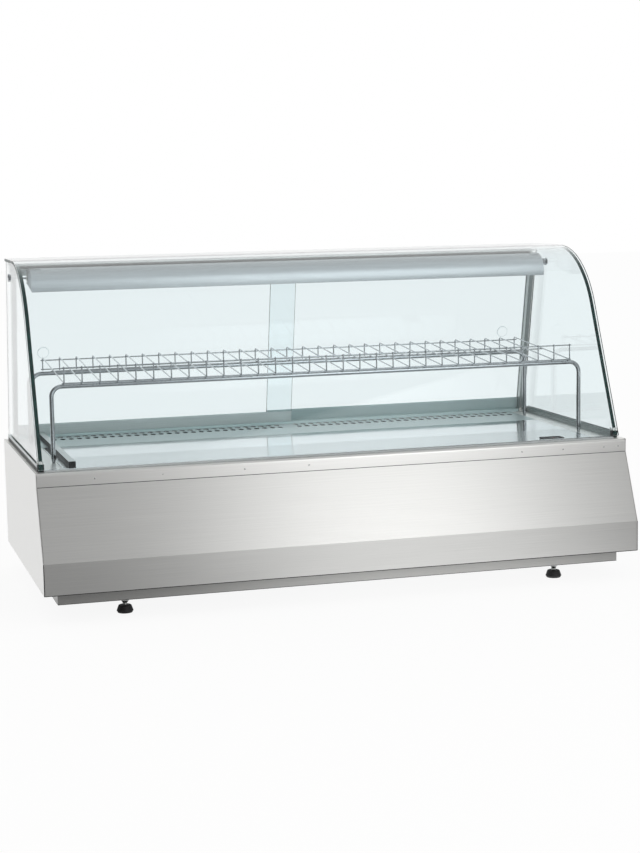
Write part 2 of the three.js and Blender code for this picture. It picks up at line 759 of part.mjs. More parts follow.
const fanBladeDegrees = 22;
function condenserFan() {
  const hubRadius = motorRadius;
  const hubDepth = 12;
  const hub = rod('y', hubRadius, fanY - hubDepth, fanY, condenserX, fanZ, 20);
  const blades = [];
  const count = 5;
  for (let blade = 0; blade < count; blade += 1) {
    const geometry = new THREE.BoxGeometry(fanRadius / 2, sheet, fanRadius - hubRadius + 2 * sheet);
    geometry.rotateZ(THREE.MathUtils.degToRad(fanBladeDegrees));
    geometry.translate(0, 0, (fanRadius + hubRadius) / 2 - sheet);
    geometry.rotateY((2 * Math.PI * blade) / count);
    geometry.translate(condenserX, fanY - hubDepth / 2, fanZ);
    blades.push(toSolid(geometry));
  }
  const disc = rod('y', fanRadius, fanY - 2 * hubDepth, fanY + hubDepth, condenserX, fanZ, 32);
  const shaft = rod('y', shaftRadius, motorFaceY + fitGap, fanY, condenserX, fanZ, 12);
  return joined([hub, shaft, ...blades.map((blade) => blade.intersect(disc))]);
}

// Drain: a pipe from the well down to an evaporating tray on the pan
const trayWidth = 260;
const trayDepth = 180;
const trayHeight = 34;
function drainTray() {
  const x = trayWidth / 2;
  const y = trayDepth / 2;
  const outer = box(drainX - x, drainX + x, drainY - y, drainY + y, panTop, panTop + trayHeight);
  const inner = box(drainX - x + sheet, drainX + x - sheet, drainY - y + sheet, drainY + y - sheet,
    panTop + sheet, panTop + trayHeight + overrun);
  return outer.subtract(inner);
}

function drainPipe() {
  const collarRadius = drainRadius + 3 * sheet;
  const bottom = panTop + trayHeight / 2;
  const pipe = rod('z', drainRadius, bottom, wellFloorTop, drainX, drainY, 12);
  const collarTop = wellBottom - fitGap;
  const collar = rod('z', collarRadius, collarTop - 2 * sheet, collarTop, drainX, drainY, 12);
  const bore = rod('z', pipeBoreRadius, bottom - overrun, wellFloorTop + overrun, drainX, drainY, 12);
  return pipe.add(collar).subtract(bore);
}

// Front glass: one pane, bent over the whole width
function glassProfile() {
  const tangentDegrees = 90 + THREE.MathUtils.radToDeg(glassSlope);
  return [
    [glassFootY, glassFootZ],
    ...arc(bendY, bendZ, glassBendRadius, tangentDegrees, 90, 18),
    [glassEndY, topHeight],
  ];
}

// The inner face of the pane at a height
function glassInsideY(z) {
  const radius = glassBendRadius - glassThickness;
  const tangentZ = bendZ + radius * Math.cos(glassSlope);
  const bentY = bendY - Math.sqrt(radius ** 2 - (Math.max(z, tangentZ) - bendZ) ** 2);
  return bentY - Math.max(tangentZ - z, 0) / Math.tan(glassSlope);
}

function frontGlass() {
  const x = halfWidth - glassOverhang;
  return prismX(bentSheet(glassProfile(), -glassThickness), -x, x);
}

// Hinge of the front glass: a leaf bonded under the glass and a round bead along its back
const beadRadius = 4;
const hookRadius = 7;
const leafThickness = 3;
const leafDepth = 34;
const hingeSetback = 12;
const hingeEndInset = 30;
const hingeY = glassEndY + hingeSetback;
const hingeZ = topHeight - glassThickness - fitGap - leafThickness / 2;
const hingeHalfLength = halfWidth - hingeEndInset;
function glassHinge() {
  const leaf = box(-hingeHalfLength, hingeHalfLength, hingeY - leafDepth - beadRadius, hingeY,
    hingeZ - leafThickness / 2, hingeZ + leafThickness / 2);
  return leaf.add(rod('x', beadRadius, -hingeHalfLength, hingeHalfLength, hingeY, hingeZ, 16));
}

// A bar in the plane of the leaning doors
function leaningBlock(x0, x1, out0, out1, up0, up1) {
  return prismX([leaning(out0, up0), leaning(out1, up0), leaning(out1, up1), leaning(out0, up1)], x0, x1);
}

// Door planes: the left leaf runs on the inner groove and the right leaf on the outer one
const railThickness = 9;
const innerLeafOut = -doorPitch / 2;
const outerLeafOut = doorPitch / 2;
const grooveHalf = 2.4;
const tongueHalf = 2;
const trackHeight = 7;
const tongueUp = 4;
const railUp = 10;
const railHeight = 30;

// Bottom track on the deck, with two grooves for the tongues of the doors
const trackHalf = 11;
const grooveFloorUp = 2;
function doorTrack() {
  const half = trackHalf;
  const x = postInnerX;
  const section = [
    [doorFootY - half, deckHeight], [doorFootY + half, deckHeight],
    [doorFootY + half, deckHeight + trackHeight], [doorFootY - half, deckHeight + trackHeight],
  ];
  const grooves = [innerLeafOut, outerLeafOut].map((out) =>
    leaningBlock(-x - overrun, x + overrun, out - grooveHalf, out + grooveHalf,
      grooveFloorUp, 2 * trackHeight));
  return cutBy(prismX(section, -postInnerX + fitGap, postInnerX - fitGap), grooves);
}

// Rear posts: square bars that lean with the doors and carry the top rail
const postWidth = 14;
const postGlassGap = 5;
const postDepth = 24;
const sideGlassX = halfWidth - sideGlassInset - sideGlassThickness;
const postInnerX = sideGlassX - postGlassGap - postWidth;
function rearPost() {
  const toe = (postDepth / 2) * Math.tan(doorLean) + fitGap;
  return leaningBlock(postInnerX, postInnerX + postWidth, -postDepth / 2, postDepth / 2,
    toe, topRailUp - fitGap);
}

// Top rail: carries the doors' upper edges in two grooves and the hook of the glass hinge
const hookFromDegrees = 207;
const hookToDegrees = 445;
const doorGrooveDepth = 12;
function topRail() {
  const x = postInnerX + postWidth;
  const bar = leaningBlock(-x, x, -topRailHalf, topRailHalf, topRailUp, topRailUp + topRailHeight);
  const grooves = [innerLeafOut, outerLeafOut].map((out) => leaningBlock(-postInnerX, postInnerX,
    out - doorGlassThickness / 2 - fitGap, out + doorGlassThickness / 2 + fitGap,
    topRailUp - overrun, topRailUp + doorGrooveDepth));
  const hookOuter = arc(hingeY, hingeZ, hookRadius, hookFromDegrees, hookToDegrees, 16);
  const hookInner = arc(hingeY, hingeZ, beadRadius + fitGap, hookToDegrees, hookFromDegrees, 16);
  const hook = prismX([...hookOuter, ...hookInner], -x, x);
  const cornerY = leaning(topRailHalf, topRailUp + topRailHeight)[0];
  const cornerZ = leaning(topRailHalf, topRailUp + topRailHeight)[1];
  const web = prismX([
    leaning(topRailHalf / 2, topRailUp + topRailHeight / 2), [cornerY, cornerZ - topRailHeight],
    [hingeY + hookRadius, hingeZ - beadRadius], [hingeY - beadRadius, hingeZ - hookRadius + sheet],
  ], -x, x).subtract(rod('x', beadRadius + fitGap, -x - overrun, x + overrun, hingeY, hingeZ, 16));
  return joined([cutBy(bar, grooves), hook, web]);
}

// Door leaf: a pane with a ground finger dish, and an aluminium rail along its lower edge
const dishRadius = 15;
const dishInset = 52;
const dishUp = 205;
const dishDepth = 2;
const dishFloorRadius = 12;
const paneSeat = 6;
const leafWidth = postInnerX + doorOverlap / 2 - fitGap;
const paneUp = railUp + paneSeat;
function doorGlass(side) {
  const out = side < 0 ? innerLeafOut : outerLeafOut;
  const shut = side * (postInnerX - fitGap);
  const inner = shut - side * leafWidth;
  const pane = leaningBlock(Math.min(shut, inner), Math.max(shut, inner),
    out - doorGlassThickness / 2, out + doorGlassThickness / 2, paneUp, doorHeight);
  const dish = new THREE.CylinderGeometry(dishRadius, dishFloorRadius, dishDepth + overrun, 24);
  dish.rotateX(doorLean);
  const [y, z] = leaning(out + doorGlassThickness / 2 - dishDepth / 2 + overrun / 2, dishUp);
  dish.translate(shut - side * dishInset, y, z);
  return pane.subtract(toSolid(dish));
}

function doorRail(side) {
  const out = side < 0 ? innerLeafOut : outerLeafOut;
  const shut = side * (postInnerX - fitGap);
  const inner = shut - side * leafWidth;
  const x0 = Math.min(shut, inner);
  const x1 = Math.max(shut, inner);
  const bar = leaningBlock(x0, x1, out - railThickness / 2, out + railThickness / 2,
    railUp, railUp + railHeight);
  const slot = leaningBlock(x0 - overrun, x1 + overrun, out - doorGlassThickness / 2 - fitGap,
    out + doorGlassThickness / 2 + fitGap, paneUp - fitGap, railUp + railHeight + overrun);
  const tongue = leaningBlock(x0, x1, out - tongueHalf, out + tongueHalf, tongueUp, railUp + sheet);
  return joined([bar.subtract(slot), tongue]);
}

// Side glass: a flat pane that follows the front glass from inside and leans with the doors behind
const sideGlassLap = 8;
function sideGlass() {
  const front = shifted(glassProfile(), -(glassThickness + 2 * fitGap), false);
  const bottom = deckHeight + sheet + fitGap;
  const slope = (front[1][0] - front[0][0]) / (front[1][1] - front[0][1]);
  const frontEdge = front.slice(1, -1);
  const topZ = front[front.length - 1][1];
  const rearTop = leaning(sideGlassLap, 0);
  const rearAt = (z) => rearTop[0] - (z - rearTop[1]) * Math.tan(doorLean);
  const points = [
    [front[1][0] - slope * (front[1][1] - bottom), bottom], [rearAt(bottom), bottom],
    [rearAt(topZ), topZ], ...frontEdge.reverse(),
  ];
  const pane = prismX(points, sideGlassX, sideGlassX + sideGlassThickness);
  return pane.subtract(rod('x', boltRadius + fitGap,
    sideGlassX - overrun, sideGlassX + sideGlassThickness + overrun, boltY, boltZ, 16));
}

// Channel: an aluminium U along the deck that grips the foot of the side glass
const channelX0 = sideGlassX - channelClearance;
const channelX1 = sideGlassX + sideGlassThickness + channelClearance;
const capLength = 8;
const capFrontY = glassInsideY(deckHeight + channelHeight) + 2 * fitGap;
const channelRearY = doorFootY - postDepth / 2;
function glassChannel() {
  const y0 = capFrontY + capLength + fitGap;
  const outer = box(channelX0, channelX1, y0, channelRearY, deckHeight, deckHeight + channelHeight);
  const inner = box(channelX0 + sheet, channelX1 - sheet, y0 - overrun, channelRearY + overrun,
    deckHeight + sheet, deckHeight + channelHeight + overrun);
  return outer.subtract(inner);
}

// Cap: a moulded block over the front end of the channel, slotted for the pane
function channelCap() {
  const block = box(channelX0, channelX1, capFrontY, capFrontY + capLength,
    deckHeight, deckHeight + channelHeight);
  const slot = box(sideGlassX - fitGap, sideGlassX + sideGlassThickness + fitGap, capFrontY - overrun,
    capFrontY + capLength + overrun, deckHeight + sheet, deckHeight + channelHeight + overrun);
  return block.subtract(slot);
}

// Seal: a flat rubber strip on the deck under the foot of the front glass
const sealLip = 2;
const sealHeight = glassFootLift - glassThickness * Math.cos(glassSlope) - fitGap;
function glassSeal() {
  const x = channelX0 - fitGap;
  const y0 = glassFootY - sealLip;
  return box(-x, x, y0, y0 + 2 * glassThickness, deckHeight, deckHeight + sealHeight);
}

// Lamp housing: a bent trough, open below, between the side panes, with a lamp holder at each end
const lampSetback = 47.5;
const lampWidth = 84;
const lampGlassGap = 12;
const lampEndInset = 50;
const lampNoseRadius = 42;
const lampNoseDegrees = 194;
const lampBackHeight = 35;
const lampTubeRadius = 8;
const lampTubeDrop = 27.5;
const lampHolder = 24;
const lampY = bendY + lampSetback;
const lampTop = topHeight - glassThickness - lampGlassGap;
const lampHalfLength = halfWidth - lampEndInset;
const lampAxisZ = lampTop - lampTubeDrop;
function lampHousing() {
  const frontY0 = lampY - lampWidth / 2;
  const path = [
    ...arc(frontY0 + lampNoseRadius, lampTop - lampNoseRadius, lampNoseRadius, lampNoseDegrees, 90, 10),
    [lampY + lampWidth / 2, lampTop], [lampY + lampWidth / 2, lampTop - lampBackHeight],
  ];
  const section = bentSheet(path, -sheet);
  const trough = prismX(section, -lampHalfLength, lampHalfLength);
  const endOutline = [...path];
  const parts = [trough];
  for (const side of [-1, 1]) {
    const x = side * (lampHalfLength - sheet / 2);
    const plate = endOutline.slice().reverse();
    parts.push(prismX(plate, x - sheet / 2, x + sheet / 2));
    const inner = side * (lampHalfLength - lampHolder);
    const outerX = side * (lampHalfLength - sheet);
    parts.push(box(Math.min(inner, outerX), Math.max(inner, outerX), lampY - 2 * lampTubeRadius,
      lampY + 2 * lampTubeRadius, lampAxisZ - lampTubeRadius, lampTop - sheet / 2));
  }
  return joined(parts);
}

function lampTube() {
  const end = lampHalfLength - lampHolder - fitGap;
  return rod('x', lampTubeRadius, -end, end, lampY, lampAxisZ, 20);
}

// Lamp bolt: a capped screw through the side pane into the end of the lamp housing
const boltOffset = 31;
const boltDrop = 22.7;
const boltY = lampY + boltOffset;
const boltZ = lampTop - boltDrop;
const boltRadius = 4;
function lampBolt() {
  const capRadius = 9;
  const spacerRadius = 7;
  const cap = 4;
  const outerX = sideGlassX + sideGlassThickness;
  return joined([
    rod('x', capRadius, outerX + fitGap, outerX + fitGap + cap, boltY, boltZ, 20),
    rod('x', spacerRadius, lampHalfLength + fitGap, sideGlassX - fitGap, boltY, boltZ, 20),
    rod('x', boltRadius, lampHalfLength + fitGap, outerX + cap, boltY, boltZ, 16),
  ]);
}

// Shelf frames: bent tubes that stand on the deck, one in front and one behind
const frameTubeRadius = 4.8;
const legTipRadius = 2.2;
const frameSideGap = 7;
const frameBend = 26;
const frontBarHeight = 161;
const rearBarHeight = 157;
const rearFrameInset = 93;
const frameHalfWidth = plateHalfWidth + frameSideGap;
const frontBarZ = deckHeight + frontBarHeight;
const rearBarZ = deckHeight + rearBarHeight;
const rearFrameY = doorFootY - rearFrameInset;
function bentFrame(y, barZ) {
  const foot = deckHeight + 3 * frameTubeRadius;
  const w = frameHalfWidth;
  const corners = [[-w, foot], [-w, barZ], [w, barZ], [w, foot]].map(([x, z]) => new THREE.Vector3(x, y, z));
  const bar = tube(corners, frameBend, 5, frameTubeRadius, 10);
  const neckRadius = frameTubeRadius - fitGap / 6;
  const feet = [-w, w].map((x) => turned([
    [0, deckHeight], [legTipRadius, deckHeight], [neckRadius, foot - frameTubeRadius],
    [neckRadius, foot + frameTubeRadius], [0, foot + frameTubeRadius],
  ], x, y, 10));
  return joined([bar, ...feet]);
}

// Wire shelf: bent cross wires welded to long wires, high at the back, with a lip in front
const wireRadius = 1.5;
const longWireRadius = 1.38;
const wirePitch = 38;
const shelfSideGap = 25;
const shelfGlassGap = 9.2;
const shelfNose = 11;
const lipHeight = 36;
const rearUprightHeight = 33;
const seat = frameTubeRadius + wireRadius + fitGap;
const shelfHalfWidth = frameHalfWidth - shelfSideGap;
const shelfWires = 1 + Math.round((2 * shelfHalfWidth) / wirePitch);
const shelfFrontY = glassInsideY(frontBarZ + seat + lipHeight) + shelfGlassGap;
const frontFrameY = shelfFrontY + shelfNose;
const shelfRearY = rearFrameY;
function wireShelf() {
  const rearLowZ = rearBarZ + seat;
  const rearZ = rearLowZ + rearUprightHeight;
  const overhangShare = (frontFrameY - shelfFrontY) / (shelfRearY - frontFrameY);
  const frontZ = frontBarZ + seat - (rearZ - frontBarZ - seat) * overhangShare;
  const solids = [];
  for (let index = 0; index < shelfWires; index += 1) {
    const x = -shelfHalfWidth + (2 * shelfHalfWidth * index) / (shelfWires - 1);
    const corners = [
      [shelfRearY, rearLowZ], [shelfRearY, rearZ], [shelfFrontY, frontZ], [shelfFrontY, frontZ + lipHeight],
    ].map(([y, z]) => new THREE.Vector3(x, y, z));
    solids.push(tube(corners, 2 * wireRadius, 1, wireRadius, 4));
  }
  const reach = shelfHalfWidth + 2 * wireRadius;
  const slope = (rearZ - frontZ) / (shelfRearY - shelfFrontY);
  const places = [
    [shelfFrontY, frontZ + lipHeight - wireRadius], [shelfFrontY + wireRadius, frontZ + wireRadius],
    [shelfRearY, rearLowZ + wireRadius], [shelfRearY - wireRadius, rearZ - 4 * wireRadius],
  ];
  const middleY = (shelfFrontY + shelfRearY) / 2;
  places.push([middleY, frontZ + slope * (middleY - shelfFrontY) - longWireRadius]);
  for (const [y, z] of places) solids.push(rod('x', longWireRadius, -reach, reach, y, z, 4));
  return joined(solids);
}

// Thermometer: a flat dial plate with a sunk window, on the front plate
const thermometerWidth = 48;
const thermometerDepth = 28.6;
const thermometerHeight = 3;
const thermometerSideInset = 93;
const thermometerFrontInset = 2;
const thermometerX = plateHalfWidth - thermometerSideInset;
const thermometerMargin = 3;
function thermometer() {
  const half = thermometerWidth / 2;
  const y0 = plateFrontY + thermometerFrontInset;
  const y1 = y0 + thermometerDepth;
  const top = plateTop + thermometerHeight;
  const body = box(thermometerX - half, thermometerX + half, y0, y1, plateTop, top);
  const window = box(thermometerX - half + thermometerMargin, thermometerX + half - thermometerMargin,
    y0 + thermometerMargin, y1 - thermometerMargin, top - thermometerHeight / 2, top + overrun);
  return body.subtract(window);
}

// Sensor conduit: a square tube along the left of the floor, with a plug in its front end
const conduitWidth = 14.5;
const conduitHeight = 12.5;
const conduitWall = 1.2;
const conduitSideInset = 20;
const conduitFrontInset = 18;
const conduitRearInset = 4;
const conduitX = -plateHalfWidth + conduitSideInset;
const conduitFrontY = plateFrontY + conduitFrontInset;
const conduitRearY = ductRearY - conduitRearInset;
function sensorConduit() {
  const half = conduitWidth / 2;
  const outer = box(conduitX - half, conduitX + half, conduitFrontY, conduitRearY,
    plateTop, plateTop + conduitHeight);
  const inner = box(conduitX - half + conduitWall, conduitX + half - conduitWall,
    conduitFrontY - overrun, conduitRearY + overrun,
    plateTop + conduitWall, plateTop + conduitHeight - conduitWall);
  return outer.subtract(inner);
}

function conduitCap() {
  const plugLength = 10;
  const face = 3;
  const half = conduitWidth / 2;
  const wall = conduitWall + fitGap;
  const cover = box(conduitX - half, conduitX + half, conduitFrontY - fitGap - face, conduitFrontY - fitGap,
    plateTop, plateTop + conduitHeight);
  const plug = box(conduitX - half + wall, conduitX + half - wall,
    conduitFrontY - fitGap - face / 2, conduitFrontY + plugLength,
    plateTop + wall, plateTop + conduitHeight - wall);
  return cover.add(plug);
}

// Assembly, from the floor upwards
const pairs = (parent, stem, solid, material) => {
  place(parent, `${stem}_right`, solid, material());
  place(parent, `${stem}_left`, mirrored(solid), material());
};

const base = new THREE.Group();
displayCase.add(base);
const footY = [['front', plinthFrontY + footInsetY], ['rear', plinthRearY - footInsetY]];
for (const [end, y] of footY) {
  place(base, `foot_${end}_left`, foot(-footX, y), rubber());
  place(base, `foot_${end}_right`, foot(footX, y), rubber());
}
place(base, 'plinth', plinth(), brushedSteel());
place(base, 'base_pan', basePan(), galvanised());
pairs(base, 'side_panel', sidePanel(), brushedSteel);
place(base, 'front_panel', frontPanel(), brushedSteel());
place(base, 'rear_panel', rearPanel(), brushedSteel());
place(base, 'deck_frame', deckFrame(), brushedSteel());
place(base, 'well_tub', wellTub(), brushedSteel());

const machinery = new THREE.Group();
displayCase.add(machinery);
place(machinery, 'compressor', compressor(), blackPaint());
place(machinery, 'condenser', finnedCoil(condenserX, condenserY, panTop, condenserWidth, condenserDepth,
  condenserHeight, 12, 2, 1), aluminium());
place(machinery, 'condenser_fan_shroud', condenserShroud(), galvanised());
place(machinery, 'condenser_fan', condenserFan(), aluminium());
place(machinery, 'drain_tray', drainTray(), whitePlastic());
place(machinery, 'drain_pipe', drainPipe(), whitePlastic());
place(machinery, 'evaporator', finnedCoil(evaporatorX, evaporatorY, wellFloorTop, evaporatorWidth,
  evaporatorDepth, evaporatorHeight, 12, 1, 2), copper());
place(machinery, 'blower_housing', blowerHousing(), galvanised());
place(machinery, 'blower_rotor', blowerRotor(), blackPlastic());

const controls = new THREE.Group();
displayCase.add(controls);
place(controls, 'control_bezel', controlBezel(), greyPlastic());
place(controls, 'temperature_controller', temperatureController(), blackPlastic());
for (let key = 0; key < keyCount; key += 1) {
  place(controls, `controller_key_${key + 1}`, controllerKey(key), greyPlastic());
}
['main_switch', 'light_switch'].forEach((name, index) => {
  const mesh = place(controls, name, rocker(), blackPlastic());
  mesh.position.set(switchX(index), rearPanelY + bezelThickness - rockerPinDepth, controlZ);
  mesh.rotation.x = rockerTilt;
});
place(controls, 'cable_gland', cableGland(), blackPlastic());

const floor = new THREE.Group();
displayCase.add(floor);
place(floor, 'front_plate', floorPlate(-plateHalfWidth, plateHalfWidth,
  plateFrontY, floorFrontY - fitGap / 2, false, true), brushedSteel());
place(floor, 'display_floor', floorPlate(-plateHalfWidth, plateHalfWidth,
  floorFrontY + fitGap / 2, ductFrontY - fitGap / 2, true, true), polishedSteel());
const ductJointX = 12;
place(floor, 'duct_cover_left', ductCover(-plateHalfWidth, ductJointX - fitGap / 2), brushedSteel());
place(floor, 'duct_cover_right', ductCover(ductJointX + fitGap / 2, plateHalfWidth), brushedSteel());
place(floor, 'sensor_conduit', sensorConduit(), aluminium());
place(floor, 'conduit_cap', conduitCap(), greyPlastic());
place(floor, 'thermometer', thermometer(), blackPlastic());

const glazing = new THREE.Group();
displayCase.add(glazing);
pairs(glazing, 'glass_channel', glassChannel(), aluminium);
pairs(glazing, 'channel_cap', channelCap(), blackPlastic);
pairs(glazing, 'side_glass', sideGlass(), clearGlass);
place(glazing, 'glass_seal', glassSeal(), rubber());
place(glazing, 'front_glass', frontGlass(), clearGlass());
place(glazing, 'glass_hinge', glassHinge(), aluminium());

const rear = new THREE.Group();
displayCase.add(rear);
pairs(rear, 'rear_post', rearPost(), aluminium);
place(rear, 'top_rail', topRail(), aluminium());
place(rear, 'door_track', doorTrack(), aluminium());
place(rear, 'door_glass_left', doorGlass(-1), clearGlass());
place(rear, 'door_glass_right', doorGlass(1), clearGlass());
place(rear, 'door_rail_left', doorRail(-1), aluminium());
place(rear, 'door_rail_right', doorRail(1), aluminium());

const inside = new THREE.Group();
displayCase.add(inside);
place(inside, 'lamp_housing', lampHousing(), aluminium());
place(inside, 'lamp_tube', lampTube(), whiteEnamel());
pairs(inside, 'lamp_bolt', lampBolt(), chrome);
place(inside, 'shelf_front_frame', bentFrame(frontFrameY, frontBarZ), chrome());
place(inside, 'shelf_rear_frame', bentFrame(rearFrameY, rearBarZ), chrome());
place(inside, 'wire_shelf', wireShelf(), chrome());

export default displayCase;
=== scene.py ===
import json
import math
import bpy
from mathutils import Matrix, Vector

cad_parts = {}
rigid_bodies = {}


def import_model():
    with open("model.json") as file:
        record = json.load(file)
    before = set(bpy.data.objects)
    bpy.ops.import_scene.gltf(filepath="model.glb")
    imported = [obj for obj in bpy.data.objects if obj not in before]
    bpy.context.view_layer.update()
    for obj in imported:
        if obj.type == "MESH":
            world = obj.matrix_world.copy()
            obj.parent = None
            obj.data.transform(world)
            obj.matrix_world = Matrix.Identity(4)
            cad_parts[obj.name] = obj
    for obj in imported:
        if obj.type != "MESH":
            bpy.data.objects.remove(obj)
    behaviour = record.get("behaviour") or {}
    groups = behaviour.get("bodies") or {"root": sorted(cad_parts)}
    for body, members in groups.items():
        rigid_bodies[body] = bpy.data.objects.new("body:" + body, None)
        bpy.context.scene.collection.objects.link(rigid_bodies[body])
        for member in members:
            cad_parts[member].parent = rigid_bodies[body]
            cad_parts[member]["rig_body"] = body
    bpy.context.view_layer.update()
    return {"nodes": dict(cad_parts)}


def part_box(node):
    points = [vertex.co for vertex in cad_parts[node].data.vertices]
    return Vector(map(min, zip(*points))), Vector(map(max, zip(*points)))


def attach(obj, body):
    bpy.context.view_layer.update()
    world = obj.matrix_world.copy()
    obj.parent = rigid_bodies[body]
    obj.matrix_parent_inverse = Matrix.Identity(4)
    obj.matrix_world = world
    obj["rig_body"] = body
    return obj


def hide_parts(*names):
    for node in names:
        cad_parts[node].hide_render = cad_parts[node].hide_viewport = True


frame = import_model()


# Camera: stands in front and to the left of the case, a little above its top.
# Its place was fitted to the straight edges of the base, deck and shelf frame.
CAMERA_PLACE = (-1.110, -3.956, 0.881)
CAMERA_YAW = 15.93
CAMERA_PITCH = -7.65
CAMERA_ROLL = -1.05
PHOTO_HEIGHT = 853
FOCAL_PIXELS = 1852.6
SENSOR = 36.0

yaw, pitch, roll = (math.radians(a) for a in (CAMERA_YAW, CAMERA_PITCH, CAMERA_ROLL))
ahead = Vector((math.sin(yaw) * math.cos(pitch), math.cos(yaw) * math.cos(pitch), math.sin(pitch)))
across = Vector((math.cos(yaw), -math.sin(yaw), 0))
above = across.cross(ahead)
right = across * math.cos(roll) + above * math.sin(roll)
up = above * math.cos(roll) - across * math.sin(roll)

camera_data = bpy.data.cameras.new("camera")
camera_data.sensor_width = SENSOR
camera_data.lens = FOCAL_PIXELS * SENSOR / PHOTO_HEIGHT
camera = bpy.data.objects.new("camera", camera_data)
bpy.context.scene.collection.objects.link(camera)
facing = Matrix((right, up, -ahead)).transposed().to_4x4()
camera.matrix_world = Matrix.Translation(CAMERA_PLACE) @ facing
bpy.context.scene.camera = camera
bpy.context.scene.view_settings.view_transform = "Standard"


# Studio: a pale floor under a white surround, and one tall soft box in front, to the right.
# The camera and glass see the surround and floor as plain white. Metal mirrors them white behind
# the case, mid grey in front of it and dark grey to the left, where a dark screen stands.
FLOOR_SIZE = 30.0
FLOOR_COLOUR = "#fafaf9"
# how bright metal sees the floor: place along Y in metres, brightness
FLOOR_IN_METAL = ((-1.9, 0.62), (-0.95, 0.3), (-0.55, 0.3), (0.0, 1.0))
# the pool of light in front of the case: its middle along X, how far from it the fading starts and
# ends, its gain in the middle and away from it, and where along Y it ends
POOL_X = 0.25
POOL_FADE = (0.1, 0.8)
POOL_GAINS = (2.1, 0.72)
POOL_END_Y = (-0.3, 0.1)
ROOM_LIGHT = 0.86
ROOM_FRONT = 0.52
# the directions along Y and X between which the surround changes from front to rear, and from
# the screen to the room, and the screen's image on the floor
ROOM_TURN = (-0.1, 0.5)
SCREEN_TURN = (-0.7, -0.2)
SCREEN_SHARE = 0.22
SCREEN_IMAGE_X = (-2.0, -0.9)
SCREEN_IMAGE_END_Y = (0.4, 1.6)
SEEN_SHARE = 0.9
BOX_PLACE = (1.08, -3.0, 1.45)
BOX_WIDTH = 2.3
BOX_HEIGHT = 2.7
# how far from its middle the box starts to fade and how far it reaches, in shares of its width
BOX_FADE = (0.22 / BOX_WIDTH, 0.93 / BOX_WIDTH)
BOX_PEAK = 1.7
SMOOTH = {"interpolation_type": "SMOOTHSTEP"}


def linear(code):
    parts = [int(code[i:i + 2], 16) / 255 for i in (1, 3, 5)]
    return [p / 12.92 if p <= 0.04045 else ((p + 0.055) / 1.055) ** 2.4 for p in parts] + [1.0]


def add_node(tree, kind, inputs=(), **settings):
    """A node with its settings. Inputs are given by name or in the node's order; one that is a node
    or a socket is linked."""
    made = tree.nodes.new(kind)
    for key, value in settings.items():
        setattr(made, key, value)
    for key, value in inputs.items() if isinstance(inputs, dict) else enumerate(inputs):
        if isinstance(value, bpy.types.Node):
            value = value.outputs[0]
        if isinstance(value, bpy.types.NodeSocket):
            tree.links.new(value, made.inputs[key])
        else:
            made.inputs[key].default_value = value
    return made


def by_ray(tree, plain, in_metal, seen):
    """One shader for light, one for what metal mirrors, one for what the camera and glass show.

    A reflection counts as one also where it then leaves through a pane."""
    rays = add_node(tree, "ShaderNodeLightPath").outputs
    either = add_node(tree, "ShaderNodeMath", (rays["Is Camera Ray"], rays["Is Transmission Ray"]),
                      operation="MAXIMUM")
    glossy = add_node(tree, "ShaderNodeMath", (rays["Glossy Depth"], 0.5), operation="GREATER_THAN")
    direct = add_node(tree, "ShaderNodeMixShader", (either, plain, seen))
    return add_node(tree, "ShaderNodeMixShader", (glossy, direct, in_metal))


def bare_tree(owner):
    owner.use_nodes = True
    owner.node_tree.nodes.clear()
    return owner.node_tree


def new_mesh(primitive, **how):
    """Adds a primitive with nothing else selected."""
    bpy.ops.object.select_all(action="DESELECT")
    primitive(**how)
    return bpy.context.object


def axes_of(tree, kind="Object"):
    """The coordinates of a place or direction, split into X, Y and Z."""
    place = add_node(tree, "ShaderNodeTexCoord").outputs[kind]
    return add_node(tree, "ShaderNodeSeparateXYZ", (place,)).outputs


WHITE = linear("#ffffff")
world = bpy.data.worlds.new("surround")
bpy.context.scene.world = world
sky = bare_tree(world)
axes = axes_of(sky, "Generated")
behind = add_node(sky, "ShaderNodeMapRange", (axes["Y"], *ROOM_TURN, ROOM_FRONT, 1.0), **SMOOTH)
screened = add_node(sky, "ShaderNodeMapRange", (axes["X"], *SCREEN_TURN, SCREEN_SHARE, 1.0), **SMOOTH)
mirrored = add_node(sky, "ShaderNodeMath", (behind, screened), operation="MULTIPLY")
layers = [add_node(sky, "ShaderNodeBackground", (WHITE, level)) for level in (ROOM_LIGHT, mirrored, 1.0)]
add_node(sky, "ShaderNodeOutputWorld", (by_ray(sky, *layers),))

studio_floor = new_mesh(bpy.ops.mesh.primitive_plane_add, size=FLOOR_SIZE)
studio_floor.name = "studio_floor"
floor_paint = bpy.data.materials.new("matt white floor")
paint = bare_tree(floor_paint)
axes = axes_of(paint)
level = FLOOR_IN_METAL[0][1]
for (y0, level0), (y1, level1) in zip(FLOOR_IN_METAL, FLOOR_IN_METAL[1:]):
    step = add_node(paint, "ShaderNodeMapRange", (axes["Y"], y0, y1, 0.0, level1 - level0), **SMOOTH)
    level = add_node(paint, "ShaderNodeMath", (level, step), operation="ADD")
aside = add_node(paint, "ShaderNodeMath", (axes["X"], POOL_X), operation="SUBTRACT")
aside = add_node(paint, "ShaderNodeMath", (aside,), operation="ABSOLUTE")
pool = add_node(paint, "ShaderNodeMapRange", (aside, *POOL_FADE, *POOL_GAINS), **SMOOTH)
# behind the case the pool has no share
behind_case = add_node(paint, "ShaderNodeMapRange", (axes["Y"], *POOL_END_Y, 0.0, 1.0), **SMOOTH)
pool = add_node(paint, "ShaderNodeMix", {"Factor": behind_case, "A": pool, "B": 1.0})
